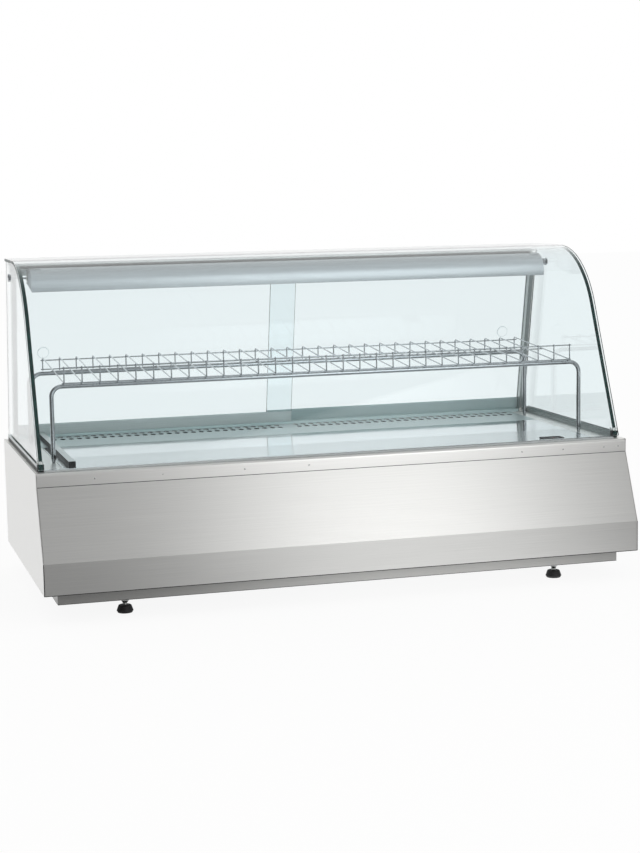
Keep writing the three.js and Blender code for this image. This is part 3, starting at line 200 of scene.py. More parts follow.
# the screen's dark image on the floor, left of the case
shade = add_node(paint, "ShaderNodeMapRange", (axes["X"], *SCREEN_IMAGE_X, SCREEN_SHARE, 1.0), **SMOOTH)
open_floor = add_node(paint, "ShaderNodeMapRange", (axes["Y"], *SCREEN_IMAGE_END_Y, 0.0, 1.0), **SMOOTH)
shade = add_node(paint, "ShaderNodeMix", {"Factor": open_floor, "A": shade, "B": 1.0})
for share in (pool, shade):
    level = add_node(paint, "ShaderNodeMath", (level, share), operation="MULTIPLY")
lit = add_node(paint, "ShaderNodeBsdfDiffuse", (linear(FLOOR_COLOUR),))
dim = add_node(paint, "ShaderNodeEmission", (WHITE, level))
glow = add_node(paint, "ShaderNodeEmission", (WHITE, 1.0))
both = add_node(paint, "ShaderNodeMixShader", (SEEN_SHARE, lit, glow))
add_node(paint, "ShaderNodeOutputMaterial", (by_ray(paint, lit, dim, both),))
studio_floor.data.materials.append(floor_paint)

# the soft box: brightest in the middle, fading to the room's own level at its two sides
soft_box = new_mesh(bpy.ops.mesh.primitive_plane_add, size=1)
soft_box.name = "soft_box"
soft_box.scale = (BOX_WIDTH, BOX_HEIGHT, 1)
soft_box.location = BOX_PLACE
aim = Vector((0.0, 0.0, BOX_PLACE[2])) - Vector(BOX_PLACE)
soft_box.rotation_euler = aim.to_track_quat("Z", "Y").to_euler()
box_cloth = bpy.data.materials.new("soft box cloth")
cloth = bare_tree(box_cloth)
off_middle = add_node(cloth, "ShaderNodeMath", (axes_of(cloth)["X"],), operation="ABSOLUTE")
hill = add_node(cloth, "ShaderNodeMapRange",
                (off_middle, *BOX_FADE, ROOM_FRONT + BOX_PEAK, ROOM_FRONT), **SMOOTH)
shine = add_node(cloth, "ShaderNodeEmission", (WHITE, hill))
# the camera and the panes look straight through it
unseen = add_node(cloth, "ShaderNodeBsdfTransparent")
add_node(cloth, "ShaderNodeOutputMaterial", (by_ray(cloth, shine, shine, unseen),))
soft_box.data.materials.append(box_cloth)


# Levelling feet: a flared rubber pad moulded round the head of a zinc-plated M10 stem,
# with a hexagon nut that locks the stem; the stem screws into the plinth's rail.
MM = 0.001
THREAD_PITCH = 1.5 * MM
STEM_RADIUS = 5 * MM
STEM_ROOT = 4.3 * MM
PAD_HEIGHT = 16 * MM
NUT_ACROSS = 16 * MM
NUT_Z = 27.2 * MM
UP = Vector((0, 0, 1))


def material_of(name, **constants):
    """A material and its nodes; the constants go to the shader's own sockets."""
    made = bpy.data.materials.new(name)
    made.use_nodes = True
    for key, value in constants.items():
        made.node_tree.nodes["Principled BSDF"].inputs[key.replace("_", " ")].default_value = value
    return made, made.node_tree


def placed(tree, grains):
    """Object coordinates, stretched to so many grains a metre, the same all ways or along X, Y and Z."""
    place = add_node(tree, "ShaderNodeTexCoord").outputs["Object"]
    scale = grains if isinstance(grains, tuple) else (grains,) * 3
    return add_node(tree, "ShaderNodeMapping", {"Vector": place, "Scale": scale})


def vary(tree, pattern, ends, colours, roughness=None, depth=None, strength=0.5, into="Base Color"):
    """Lets a pattern's level, between two ends, set a finish's colour, roughness and height in mm."""
    sockets = tree.nodes["Principled BSDF"].inputs
    tint = add_node(tree, "ShaderNodeValToRGB", (pattern,))
    for element, end, colour in zip(tint.color_ramp.elements, ends, colours):
        element.position = end
        element.color = linear(colour)
    tree.links.new(tint.outputs[0], sockets[into])
    if roughness:
        gloss = add_node(tree, "ShaderNodeMapRange", (pattern, *ends, *roughness))
        tree.links.new(gloss.outputs[0], sockets["Roughness"])
    if depth:
        bump = add_node(tree, "ShaderNodeBump",
                        {"Height": pattern, "Strength": strength, "Distance": depth * MM})
        tree.links.new(bump.outputs[0], sockets["Normal"])


def grained(name, metallic, grains, roughness, colours, depth, detail=4.0, **constants):
    """A finish with one fine grain: its size, the range of its gloss, its colours, its height."""
    made, tree = material_of(name, Metallic=metallic, **constants)
    noise = add_node(tree, "ShaderNodeTexNoise", {"Vector": placed(tree, grains), "Scale": 1.0,
                                                 "Detail": detail, "Roughness": 0.6})
    vary(tree, noise, (0.3, 0.7), colours, roughness, depth)
    return made


def mode(name):
    bpy.ops.object.mode_set(mode=name)


def only(piece):
    if bpy.context.object and bpy.context.object.mode != "OBJECT":
        mode("OBJECT")
    bpy.ops.object.select_all(action="DESELECT")
    piece.select_set(True)
    bpy.context.view_layer.objects.active = piece


def laid_in(piece):
    """Lays a new piece's place, turn and size into its mesh."""
    bpy.ops.object.transform_apply(location=True, rotation=True, scale=True)
    return piece


def dress(piece, *materials):
    piece.data.materials.clear()
    for one in materials:
        piece.data.materials.append(one)


def even_shading(piece, angle):
    """Broad faces keep their own direction, so only the narrow rounded edges look curved."""
    only(piece)
    bpy.ops.object.shade_smooth_by_angle(angle=math.radians(angle))
    even = piece.modifiers.new("even", "WEIGHTED_NORMAL")
    even.keep_sharp = True
    bpy.ops.object.modifier_apply(modifier=even.name)


def settle(piece, name, material, body="base", angle=40):
    """Finishes a new piece: gives it its material, name and shading and lets it ride on a body."""
    if material:
        dress(piece, material)
    only(piece)
    piece.name = name
    piece.data.name = name
    laid_in(piece)
    even_shading(piece, angle)
    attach(piece, body)
    return piece


def bevelled(piece, width, segments=2, angle=40):
    """Breaks the sharp edges; the width is in millimetres."""
    only(piece)
    edge = piece.modifiers.new("edge", "BEVEL")
    edge.width = width * MM
    edge.segments = segments
    edge.limit_method = "ANGLE"
    edge.angle_limit = math.radians(angle)
    bpy.ops.object.modifier_apply(modifier=edge.name)


def joined_as_one(pieces):
    only(pieces[0])
    for one in pieces:
        one.select_set(True)
    bpy.ops.object.join()
    return bpy.context.object


def copied(piece, shift=(0, 0, 0)):
    """A copy with its own mesh, moved by a shift."""
    again = bpy.data.objects.new(piece.name, piece.data.copy())
    bpy.context.scene.collection.objects.link(again)
    again.data.transform(Matrix.Translation(shift))
    return again


def disc(radius, depth, place, facing, sides=24):
    """A cylinder primitive whose axis points along a direction."""
    turn = Vector(facing).to_track_quat("Z", "Y").to_euler()
    return laid_in(new_mesh(bpy.ops.mesh.primitive_cylinder_add, vertices=sides, radius=radius, depth=depth,
                            location=place, rotation=turn))


def select_faces(piece, test):
    """Opens a piece in edit mode with the faces that pass a test selected."""
    only(piece)
    mode("EDIT")
    bpy.ops.mesh.select_all(action="DESELECT")
    mode("OBJECT")
    for face in piece.data.polygons:
        face.select = test(face)
    mode("EDIT")


def pull(piece, test, shift):
    """Extrudes the faces that pass a test by a shift."""
    select_faces(piece, test)
    bpy.ops.mesh.extrude_region_move(TRANSFORM_OT_translate={"value": shift})
    mode("OBJECT")


def push(piece, facing, distance, size=1.0, centre=(0, 0, 0)):
    """Extrudes the outermost faces that look along a direction and resizes them about an axis."""
    facing, centre = Vector(facing), Vector(centre)
    reach = max(f.center.dot(facing) for f in piece.data.polygons if f.normal.dot(facing) > 0.9)
    select_faces(piece, lambda f: f.normal.dot(facing) > 0.9 and f.center.dot(facing) > reach - MM / 100)
    bpy.ops.mesh.extrude_region_move(TRANSFORM_OT_translate={"value": facing * distance})
    middle = centre + facing * (reach + distance - centre.dot(facing))
    bpy.ops.transform.resize(value=(size, size, size), center_override=middle)
    mode("OBJECT")


# Moulded rubber: matt, with a fine even tooth of about 0.4 mm left by the mould
rubber = grained("moulded rubber", 0.0, 2400, (0.5, 0.7), ("#101113", "#191a1c"), 0.03)
# Zinc plating: bright, slightly mottled over some 3 mm
zinc = grained("zinc-plated steel", 1.0, 300, (0.18, 0.34), ("#b9bbba", "#d2d4d3"), 0.01)

pad_low, pad_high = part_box("foot_front_left")
pad_radius = (pad_high.x - pad_low.x) / 2
foot_axis = Vector(((pad_low.x + pad_high.x) / 2, (pad_low.y + pad_high.y) / 2, 0))

# the pad: a disc drawn up in steps, narrow in the middle, with a rounded lower rim
pad_width = pad_radius - 2 * MM
pad = disc(pad_width, 2 * MM, foot_axis + UP * MM, UP, 48)
for narrowing, rise in ((0, 1.5), (0.6, 2), (4, 9.5), (5.5, 1)):
    next_width = pad_radius - narrowing * MM
    push(pad, UP, rise * MM, next_width / pad_width, foot_axis)
    pad_width = next_width
bevelled(pad, 0.8, 3, 20)
dress(pad, rubber)

# the stem, with turned rings that stand for its thread
stem = disc(STEM_ROOT, THREAD_PITCH / 2, foot_axis + UP * PAD_HEIGHT, UP)
while pad_high.z - max(v.co.z for v in stem.data.vertices) > 2 * THREAD_PITCH:
    push(stem, UP, THREAD_PITCH / 2, STEM_RADIUS / STEM_ROOT, foot_axis)
    push(stem, UP, THREAD_PITCH / 2, STEM_ROOT / STEM_RADIUS, foot_axis)
dress(stem, zinc)

# the lock nut under the plinth: six-sided above, drawn in to a cone below
nut = disc(NUT_ACROSS / math.sqrt(3), 3 * MM, foot_axis + UP * NUT_Z, UP, 6)
push(nut, -UP, 5 * MM, 0.6, foot_axis)
bevelled(nut, 0.4, 2, 20)
dress(nut, zinc)

foot_model = joined_as_one([pad, stem, nut])
for end in ("front", "rear"):
    for side in ("left", "right"):
        cad_name = f"foot_{end}_{side}"
        low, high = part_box(cad_name)
        shift = ((low.x + high.x) / 2 - foot_axis.x, (low.y + high.y) / 2 - foot_axis.y, 0)
        foot = settle(copied(foot_model, shift), f"levelling_{cad_name}", None, cad_name)
        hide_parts(cad_name)
bpy.data.objects.remove(foot_model)


# Base: folded sheets of brushed stainless steel, 1.5 mm thick, on a recessed plinth frame.
# The grain of the brushing runs along each sheet; the folds have small outside radii.
FOLD_EDGE = 0.5
FRONT_SHADE_HEIGHT = 1.6 * MM
PLINTH_SHADE_HEIGHT = 1.2 * MM
# scratches to the metre along X, Y and Z: some 170 mm long and 0.7 mm apart, coarser than the real
# ones so that they show
BRUSHED_ALONG_X = (6, 1400, 1400)
BRUSHED_ALONG_Y = (1400, 6, 1400)


def dressed(cad_name, name, edge, *materials, angle=40):
    """A copy of a CAD node, its triangles merged into faces, its edges broken by so many millimetres."""
    cad = frame["nodes"][cad_name]
    piece = bpy.data.objects.new(name, cad.data.copy())
    bpy.context.scene.collection.objects.link(piece)
    only(piece)
    mode("EDIT")
    bpy.ops.mesh.select_all(action="SELECT")
    bpy.ops.mesh.remove_doubles(threshold=MM / 100)
    bpy.ops.mesh.dissolve_limited(angle_limit=math.radians(0.2))
    mode("OBJECT")
    if edge:
        bevelled(piece, edge, 2, angle)
    dress(piece, *materials)
    settle(piece, name, None, cad["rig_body"])
    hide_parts(cad_name)
    return piece


def brushed(name, dark, light, roughness, across=(0, 1, 1), grains=BRUSHED_ALONG_X):
    """Brushed stainless steel: short scratches along the sheet that spread the gloss across them."""
    made = grained(name, 1.0, grains, (roughness - 0.05, roughness + 0.07), (dark, light), 0.002,
                   detail=6.0, Anisotropic=0.8)
    tree = made.node_tree
    spread_to = add_node(tree, "ShaderNodeCombineXYZ", across)
    tree.links.new(spread_to.outputs[0], tree.nodes["Principled BSDF"].inputs["Tangent"])
    return made


def cut(piece, point, normal, clear=False):
    """Cuts a piece's faces along a plane; clear drops what lies behind it."""
    only(piece)
    mode("EDIT")
    bpy.ops.mesh.select_all(action="SELECT")
    bpy.ops.mesh.bisect(plane_co=point, plane_no=normal, clear_inner=clear)
    mode("OBJECT")


def painted(piece, index, test):
    """Gives the faces that pass a test another of the piece's materials."""
    for face in piece.data.polygons:
        if test(face):
            face.material_index = index


# the plinth's, side sheets' and deck's steel are copies of the front's: the plinth's painted darker as shade,
# the sides' and deck's painted lighter as light
front_steel = brushed("brushed stainless front", "#cececc", "#dadad8", 0.34)
lit_side_steel = brushed("brushed stainless side, painted lighter", "#d7d7d5", "#e1e1df", 0.34, (0, 0, 1), BRUSHED_ALONG_Y)
shaded_plinth_steel = brushed("brushed stainless plinth, painted darker", "#a9a9a7", "#b6b6b4", 0.38)
lit_deck_steel = brushed("brushed stainless deck, painted lighter", "#dededc", "#e8e8e6", 0.34)
# Hot-dip galvanised sheet: zinc crystals some 8 mm wide, each with its own gloss
galvanised, tree = material_of("galvanised sheet", Metallic=1.0)
spangle = add_node(tree, "ShaderNodeTexVoronoi", {"Vector": placed(tree, 130), "Scale": 1.0})
vary(tree, spangle.outputs["Color"], (0, 1), ("#868c8f", "#a9aeb0"), (0.32, 0.55))
# Painted shade along the sheets' lower edges and front edges: dull and dented, so they show as fine dark lines
edge_shade_paint = grained("painted shade on sheet edges", 0.0, 900, (0.6, 0.8), ("#252626", "#343535"), 0.02,
                    Specular_IOR_Level=0.2)


def darkened_below(piece, height, test, finish=edge_shade_paint):
    """Cuts a sheet's faces along a height and gives those that pass a test a second, dark finish: by default
    painted shade.
    """
    cut(piece, (0, 0, height), UP)
    piece.data.materials.append(finish)
    painted(piece, 1, test)
    even_shading(piece, 40)


# painted shade: dark bands along the plinth's and front sheet's lower edges and the side sheets' front edges
# below the band's top
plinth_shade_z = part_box("plinth")[0].z + PLINTH_SHADE_HEIGHT
front_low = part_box("front_panel")[0]
front_shade_z = front_low.z + FRONT_SHADE_HEIGHT
band_top = max(v.co.z for v in frame["nodes"]["front_panel"].data.vertices if v.co.y < front_low.y + MM / 2)
darkened_below(dressed("plinth", "plinth_frame", FOLD_EDGE, shaded_plinth_steel), plinth_shade_z,
       lambda f: f.center.z < plinth_shade_z)
dressed("base_pan", "base_pan_sheet", FOLD_EDGE, galvanised)
for side in ("left", "right"):
    darkened_below(dressed(f"side_panel_{side}", f"side_sheet_{side}", FOLD_EDGE, lit_side_steel), band_top,
           lambda f: f.normal.y < -0.6 and f.center.z < band_top)
darkened_below(dressed("front_panel", "front_sheet", FOLD_EDGE, front_steel, angle=18), front_shade_z,
       lambda f: f.center.z < front_shade_z)
dressed("rear_panel", "rear_sheet", 0.3, front_steel)
dressed("deck_frame", "deck_sheet", 0.3, lit_deck_steel)


# Fasteners of the base: small blind rivets along the fascia, socket screws round the rear sheet,
# a dark strip under the fascia as painted shadow, angles in the rear corners, and pressed hoods over the
# louvre slots of the condenser.
RIVET_X = (-0.530, -0.389, -0.216, -0.077, 0.404, 0.500, 0.597, 0.631)
RIVET_Z = 0.2826
FASCIA_Y = -0.248
REAR_Y = 0.302
SCREW_X = (-0.628, -0.210, 0.215, 0.628)
SCREW_Z = (0.068, 0.288)
SHADOW_STRIP_END = 0.6484
SHADOW_STRIP_Z = 0.270
ANGLE_LOW = (0.6320, 0.3021, 0.0605)
ANGLE_HIGH = (0.6352, 0.3032, 0.2685)
ANGLE_SHEET = 1.2 * MM
ANGLE_LIP = 6.4 * MM
HOOD_RADIUS = 5 * MM
HOOD_SHEET = 0.8 * MM
SLOT_HEIGHT = 5 * MM
RIGHT, FRONT, BACK = Vector((1, 0, 0)), Vector((0, -1, 0)), Vector((0, 1, 0))


def block(low, high, edge=0, segments=1):
    """A cube primitive stretched between two corners, its edges broken by so many millimetres."""
    low, high = Vector(low), Vector(high)
    made = new_mesh(bpy.ops.mesh.primitive_cube_add, size=1, location=(low + high) / 2)
    made.scale = high - low
    laid_in(made)
    if edge:
        bevelled(made, edge, segments)
    return made


def spread(piece, places, origin):
    """Copies of a piece at several places, joined; the first piece is used up."""
    copies = [copied(piece, Vector(place) - Vector(origin)) for place in places]
    bpy.data.objects.remove(piece)
    return joined_as_one(copies)


def socket_screw(radius, place):
    """A button-head screw that looks backwards, with a round socket pressed in its head."""
    head = disc(radius, 0.6 * MM, place + BACK * 0.3 * MM, BACK)
    for rise, size in ((0.7, 0.82), (0.2, 0.62), (0, 0.9), (-0.9, 0.95)):
        push(head, BACK, rise * MM, size, place)
    return head


def mirrored_left(piece):
    """Turns a piece of the right side into one of the left."""
    piece.data.transform(Matrix.Scale(-1, 4, RIGHT))
    piece.data.flip_normals()


rivet_places = [Vector((x, FASCIA_Y, RIVET_Z)) for x in RIVET_X]
rivet = disc(1.7 * MM, 0.5 * MM, rivet_places[0] + FRONT * 0.2 * MM, FRONT, 16)
push(rivet, FRONT, 0.25 * MM, 0.8, rivet_places[0])
push(rivet, FRONT, 0.1 * MM, 0.5, rivet_places[0])
settle(spread(rivet, rivet_places, rivet_places[0]), "fascia_rivets", zinc)

screw_places = [Vector((x, REAR_Y, z)) for x in SCREW_X for z in SCREW_Z]
screws = spread(socket_screw(3.4 * MM, screw_places[0]), screw_places, screw_places[0])
settle(screws, "rear_sheet_screws", zinc, angle=30)

# painted shadow: a dark rubber strip stands for the shade in the gap under the fascia
painted_shadow_strip = block((-SHADOW_STRIP_END, FASCIA_Y - 0.25 * MM, SHADOW_STRIP_Z - 0.9 * MM),
              (SHADOW_STRIP_END, FASCIA_Y + 0.8 * MM, SHADOW_STRIP_Z + 0.5 * MM), 0.2)
settle(painted_shadow_strip, "fascia_painted_shadow_strip", rubber)

# a corner angle closes the step between the rear sheet and each side sheet's flange
for side in ("left", "right"):
    corner_angle = block(ANGLE_LOW, ANGLE_HIGH)
    push(corner_angle, RIGHT, ANGLE_SHEET)
    pull(corner_angle, lambda f: f.normal.y > 0.9 and f.center.x > ANGLE_HIGH[0], BACK * ANGLE_LIP)
    if side == "left":
        mirrored_left(corner_angle)
    bevelled(corner_angle, 0.25, 1)
    settle(corner_angle, f"rear_corner_angle_{side}", lit_side_steel)

# the slots' places are read from the rear sheet: their upper and lower edges at a group's left end
rear_points = [v.co for v in frame["nodes"]["rear_panel"].data.vertices if 0.2 < v.co.x < 0.62]
group_ends = sorted({round(v.x, 4) for v in rear_points})
slot_edges = sorted({round(v.z, 4) for v in rear_points if abs(v.x - group_ends[0]) < MM / 10})
half_slot = (group_ends[1] - group_ends[0]) / 2
hood_places = [Vector((x + half_slot, REAR_Y, z + SLOT_HEIGHT / 2))
               for x in group_ends[::2] for z in slot_edges[::2]]
hood = disc(HOOD_RADIUS, 2 * half_slot, hood_places[0], RIGHT)
cut(hood, hood_places[0], BACK, clear=True)
cut(hood, hood_places[0] - UP * MM, UP, clear=True)
skin = hood.modifiers.new("skin", "SOLIDIFY")
skin.thickness = HOOD_SHEET
bpy.ops.object.modifier_apply(modifier=skin.name)
settle(spread(hood, hood_places, hood_places[0]), "louvre_hoods", front_steel, angle=30)


# Well and cooling machinery: a moulded liner over foam, with the evaporator and its blower,
# and below it the compressor, condenser, fan and drain on the galvanised pan.

# Vacuum-formed liner in dark grey, partly painted shade so that the holes over it look dark: slightly uneven
# gloss, in patches of some 17 mm
liner = grained("foam-backed liner", 0.0, 60, (0.34, 0.48), ("#575d5e", "#646a6b"), 0.05)
# Sprayed enamel: orange peel about 2 mm wide
black_paint = grained("black enamelled steel", 0.0, 500, (0.28, 0.42), ("#17181a", "#222325"), 0.04)
# Rolled fin stock: satin, with fine roller marks
fins = grained("aluminium fins", 1.0, 900, (0.3, 0.5), ("#a6a9a8", "#c6c9c8"), 0.01)
# Moulded ABS: fine spark-eroded texture, about 0.5 mm
black_plastic = grained("moulded black ABS", 0.0, 2000, (0.36, 0.5), ("#111214", "#191a1c"),
                        0.02, Specular_IOR_Level=0.3)
grey_plastic = grained("moulded grey ABS", 0.0, 2000, (0.4, 0.55), ("#3a3e41", "#484c4f"), 0.02)
# Moulded polypropylene: waxy, with soft flow marks of some 2.5 mm
white_plastic = grained("moulded white polypropylene", 0.0, 400, (0.34, 0.46), ("#dcdedc", "#e8eae8"), 0.02)

dressed("well_tub", "well_liner", 1.0, liner)
dressed("evaporator", "evaporator_coil", 0, fins)
dressed("blower_housing", "blower_scroll", 0.3, galvanised)
dressed("blower_rotor", "blower_drum", 0, black_plastic)
dressed("compressor", "compressor_pot", 1.2, black_paint)
dressed("condenser", "condenser_coil", 0, fins)
dressed("condenser_fan_shroud", "condenser_shroud", 0.3, galvanised)
dressed("condenser_fan", "condenser_blades", 0.3, fins)
dressed("drain_tray", "evaporating_tray", 0.4, white_plastic)
dressed("drain_pipe", "drain_tube", 0.3, white_plastic)


# Controls on the back: a moulded bezel with the temperature controller, its three keys,
# two rocker switches and, lower down, the gland of the cable inlet.
BEZEL_INSET = 6 * MM
WINDOW_HALF = 25.4 * MM
WINDOW_BELOW, WINDOW_ABOVE = 1.8 * MM, 11.4 * MM
DIGITS_RISE = 4.8 * MM
BAR = 3.8 * MM
# lit bars of each digit: the digit's place, then each bar's place right and up, in bar lengths, and
# whether it stands
DIGITS = (
    (9 * MM, ((-0.5, 0.5, True), (0.5, 0.5, True), (0, 0, False), (0.5, -0.5, True))),
    (-2 * MM, ((0, 1, False), (0.5, 0.5, True), (0, 0, False), (-0.5, -0.5, True), (0, -1, False))),
)
# the keys' marks: triangles up and down and a square, as sides and turn
KEY_MARKS = ((3, 0), (3, 180), (4, 45))

dressed("control_bezel", "control_plate", 0.8, grey_plastic)
dressed("temperature_controller", "controller_case", 0.5, black_plastic)
for key in (1, 2, 3):
    dressed(f"controller_key_{key}", f"controller_button_{key}", 0.5, grey_plastic)
for name in ("main_switch", "light_switch"):
    dressed(name, f"{name}_rocker", 0.5, black_plastic, angle=8)
dressed("cable_gland", "cable_gland_nut", 0.5, black_plastic)

# the bezel's screws, modelled as the others but smaller
low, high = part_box("control_bezel")
places = [Vector((x, high.y, z)) for x in (low.x + BEZEL_INSET, high.x - BEZEL_INSET)
          for z in (low.z + BEZEL_INSET, high.z - BEZEL_INSET)]
bezel_screws = spread(socket_screw(2.6 * MM, places[0]), places, places[0])
settle(bezel_screws, "bezel_screws", zinc, angle=30)

# the controller's window, a smoked pane, with two lit seven-segment digits
# Cast acrylic: nearly black and glossy, with a faint haze
smoked = grained("smoked acrylic", 0.0, 200, (0.06, 0.12), ("#0a0b0d", "#101114"), 0.005)
# Lit segments: each glows a little unevenly over its length
digit_light, tree = material_of("lit green segments", Base_Color=linear("#2fe07a"), Roughness=0.4,
                                Emission_Strength=1.2)
glow = add_node(tree, "ShaderNodeTexNoise", {"Vector": placed(tree, 900), "Scale": 1.0})
vary(tree, glow, (0, 1), ("#1fc868", "#5cf5a0"), into="Emission Color")
low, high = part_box("temperature_controller")
mid_x, mid_z = (low.x + high.x) / 2, (low.z + high.z) / 2
face_y = high.y
window = block((mid_x - WINDOW_HALF, face_y - 0.9 * MM, mid_z - WINDOW_BELOW),
               (mid_x + WINDOW_HALF, face_y - 0.4 * MM, mid_z + WINDOW_ABOVE), 0.15)
settle(window, "controller_window", smoked)
bar = block((-0.42 * BAR, face_y - 0.42 * MM, -0.4 * MM), (0.42 * BAR, face_y - 0.25 * MM, 0.4 * MM), 0.1)
bars = []
for offset, lit_bars in DIGITS:
    for right_by, up_by, stands in lit_bars:
        # seen from behind, right is towards -X
        x, z = mid_x + offset - right_by * BAR, mid_z + DIGITS_RISE + up_by * BAR
        lit = copied(bar)
        lit.data.transform(Matrix.Translation((x, 0, z)) @ Matrix.Rotation(math.pi / 2 * stands, 4, "Y"))
        bars.append(lit)
bpy.data.objects.remove(bar)
settle(joined_as_one(bars), "controller_digits", digit_light)
for key, (sides, turn) in enumerate(KEY_MARKS, 1):
    low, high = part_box(f"controller_key_{key}")
    mark = new_mesh(bpy.ops.mesh.primitive_cylinder_add, vertices=sides, radius=1.5 * MM, depth=0.2 * MM,
                    location=((low.x + high.x) / 2, high.y + 0.05 * MM, (low.z + high.z) / 2),
                    rotation=(math.radians(-90), math.radians(turn), 0))
    bevelled(mark, 0.05, 1)
    settle(mark, f"key_mark_{key}", white_plastic, f"controller_key_{key}")

# each rocker carries a raised bar above and a raised ring below, square on its two sloping faces
for name in ("main_switch", "light_switch"):
    rocker_faces = sorted((f for f in bpy.data.objects[f"{name}_rocker"].data.polygons if f.normal.y > 0.9),
                          key=lambda f: f.area)[-2:]
    lower, upper = sorted(rocker_faces, key=lambda f: f.center.z)
    stroke = block((-0.5 * MM, -2.2 * MM, 0), (0.5 * MM, 2.2 * MM, 0.2 * MM), 0.08)
    ring = new_mesh(bpy.ops.mesh.primitive_torus_add, major_radius=2 * MM, minor_radius=0.35 * MM,
                    major_segments=24, minor_segments=8)
    marks = [stroke, ring]
    for mark, face in zip(marks, (upper, lower)):
        turn = face.normal.to_track_quat("Z", "Y").to_matrix().to_4x4()
        mark.data.transform(Matrix.Translation(face.center) @ turn)
    settle(joined_as_one(marks), f"{name}_marks", white_plastic, name)


# Display floor: a satin front plate, a mirror-polished floor and two duct covers with oblong
# holes, all 1.5 mm stainless sheet laid on the deck, with a sensor's conduit and a thermometer.
HOLE_PITCH = 19 * MM
HOLE_ROW_PITCH = 34 * MM
HOLE_INSET = 20.5 * MM
HOLE_GROWTH = 1.6
SHADE_MAT_BORDER = 6 * MM
SHADE_MAT_DROP = 2.4 * MM
SHADE_MAT_THICKNESS = 3 * MM

satin = brushed("satin stainless plate", "#cfd3d4", "#dadedf", 0.18, (0, 1, 0))
duct_steel = brushed("satin stainless duct cover", "#aebaba", "#c0cbcb", 0.4, (0, 1, 0))
# Polished sheet: a mirror with a slow waviness over some 80 mm
mirror = grained("mirror-polished stainless", 1.0, 12, (0.04, 0.09), ("#cbcfd1", "#d5d9db"), 0.1, detail=1.0)
# The walls of the holes: painted shade, rough and dull
hole_wall_shade = grained("hole walls, painted shade", 0.0, 900, (0.7, 0.9), ("#0e1112", "#181c1d"), 0.03,
                  Specular_IOR_Level=0.15)
# A dark sheet of foam under the holes, as painted shade: open cells about 1.5 mm wide
shade_foam, tree = material_of("dark foam, painted shade", Roughness=0.9, Specular_IOR_Level=0.1)
cells = add_node(tree, "ShaderNodeTexVoronoi", {"Vector": placed(tree, 650), "Scale": 1.0})
vary(tree, cells.outputs["Distance"], (0, 1), ("#060708", "#1c2022"), depth=0.6, strength=0.8)

dressed("front_plate", "front_floor_plate", 0.4, satin)
dressed("display_floor", "polished_floor_plate", 0.4, mirror)
for side in ("left", "right"):
    cover = dressed(f"duct_cover_{side}", f"duct_plate_{side}", 0.25, duct_steel, hole_wall_shade)
    low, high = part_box(f"duct_cover_{side}")
    # a dark foam mat lies in the cover's hollow, under the holes, as painted shade
    mat_top = high.z - SHADE_MAT_DROP
    mat = block((low.x + SHADE_MAT_BORDER, low.y + SHADE_MAT_BORDER, mat_top - SHADE_MAT_THICKNESS),
                (high.x - SHADE_MAT_BORDER, high.y - SHADE_MAT_BORDER, mat_top), 0.8, 2)
    settle(mat, f"duct_shade_mat_{side}", shade_foam)
    # the punch leaves each hole a little wider than drawn
    columns = int((high.x - low.x) / HOLE_PITCH - 1)
    first_x = (low.x + high.x) / 2 - (columns - 1) * HOLE_PITCH / 2

    def inside(point):
        return low.x + MM < point.x < high.x - MM and low.y + MM < point.y < high.y - MM

    for vertex in cover.data.vertices:
        x, y = vertex.co.x, vertex.co.y
        if inside(vertex.co):
            centre_x = first_x + min(max(round((x - first_x) / HOLE_PITCH), 0), columns - 1) * HOLE_PITCH
            front_row = high.y - y > HOLE_INSET + HOLE_ROW_PITCH / 2
            centre_y = high.y - HOLE_INSET - (HOLE_ROW_PITCH if front_row else 0)
            vertex.co.x = centre_x + (x - centre_x) * HOLE_GROWTH
            vertex.co.y = centre_y + (y - centre_y) * HOLE_GROWTH
    even_shading(cover, 40)
    # painted shade: the walls of the holes get a nearly black finish
    painted(cover, 1, lambda f: inside(f.center) and abs(f.normal.z) < 0.3)

# Satin anodised extrusion: fine die lines along its length, along X here and along Y on the channels
aluminium = grained("anodised aluminium", 1.0, (8, 900, 900), (0.26, 0.4), ("#a7adac", "#c0c6c5"), 0.006)
dark_aluminium = grained("anodised aluminium, grey", 1.0, (900, 8, 900), (0.22, 0.34), ("#9aa2a2", "#b0b8b8"),
                         0.006)
# the conduit is a black moulding with a bright snap-on lid
conduit = dressed("sensor_conduit", "sensor_conduit_tube", 0.5, black_plastic, aluminium)
painted(conduit, 1, lambda f: f.normal.z > 0.9)
dressed("conduit_cap", "sensor_conduit_plug", 0.5, black_plastic)
dressed("thermometer", "thermometer_plate", 0.3, black_plastic)

# the thermometer's dial: a dark card with raised ticks and a red needle, sunk in the plate
CARD_MARGIN = Vector((3.4 * MM, 3.4 * MM, 0))
CARD_DEPTH = 1.5 * MM
DIAL_INSET = 7 * MM
TICKS = 11
TICK_STEP = 18
READING = 62
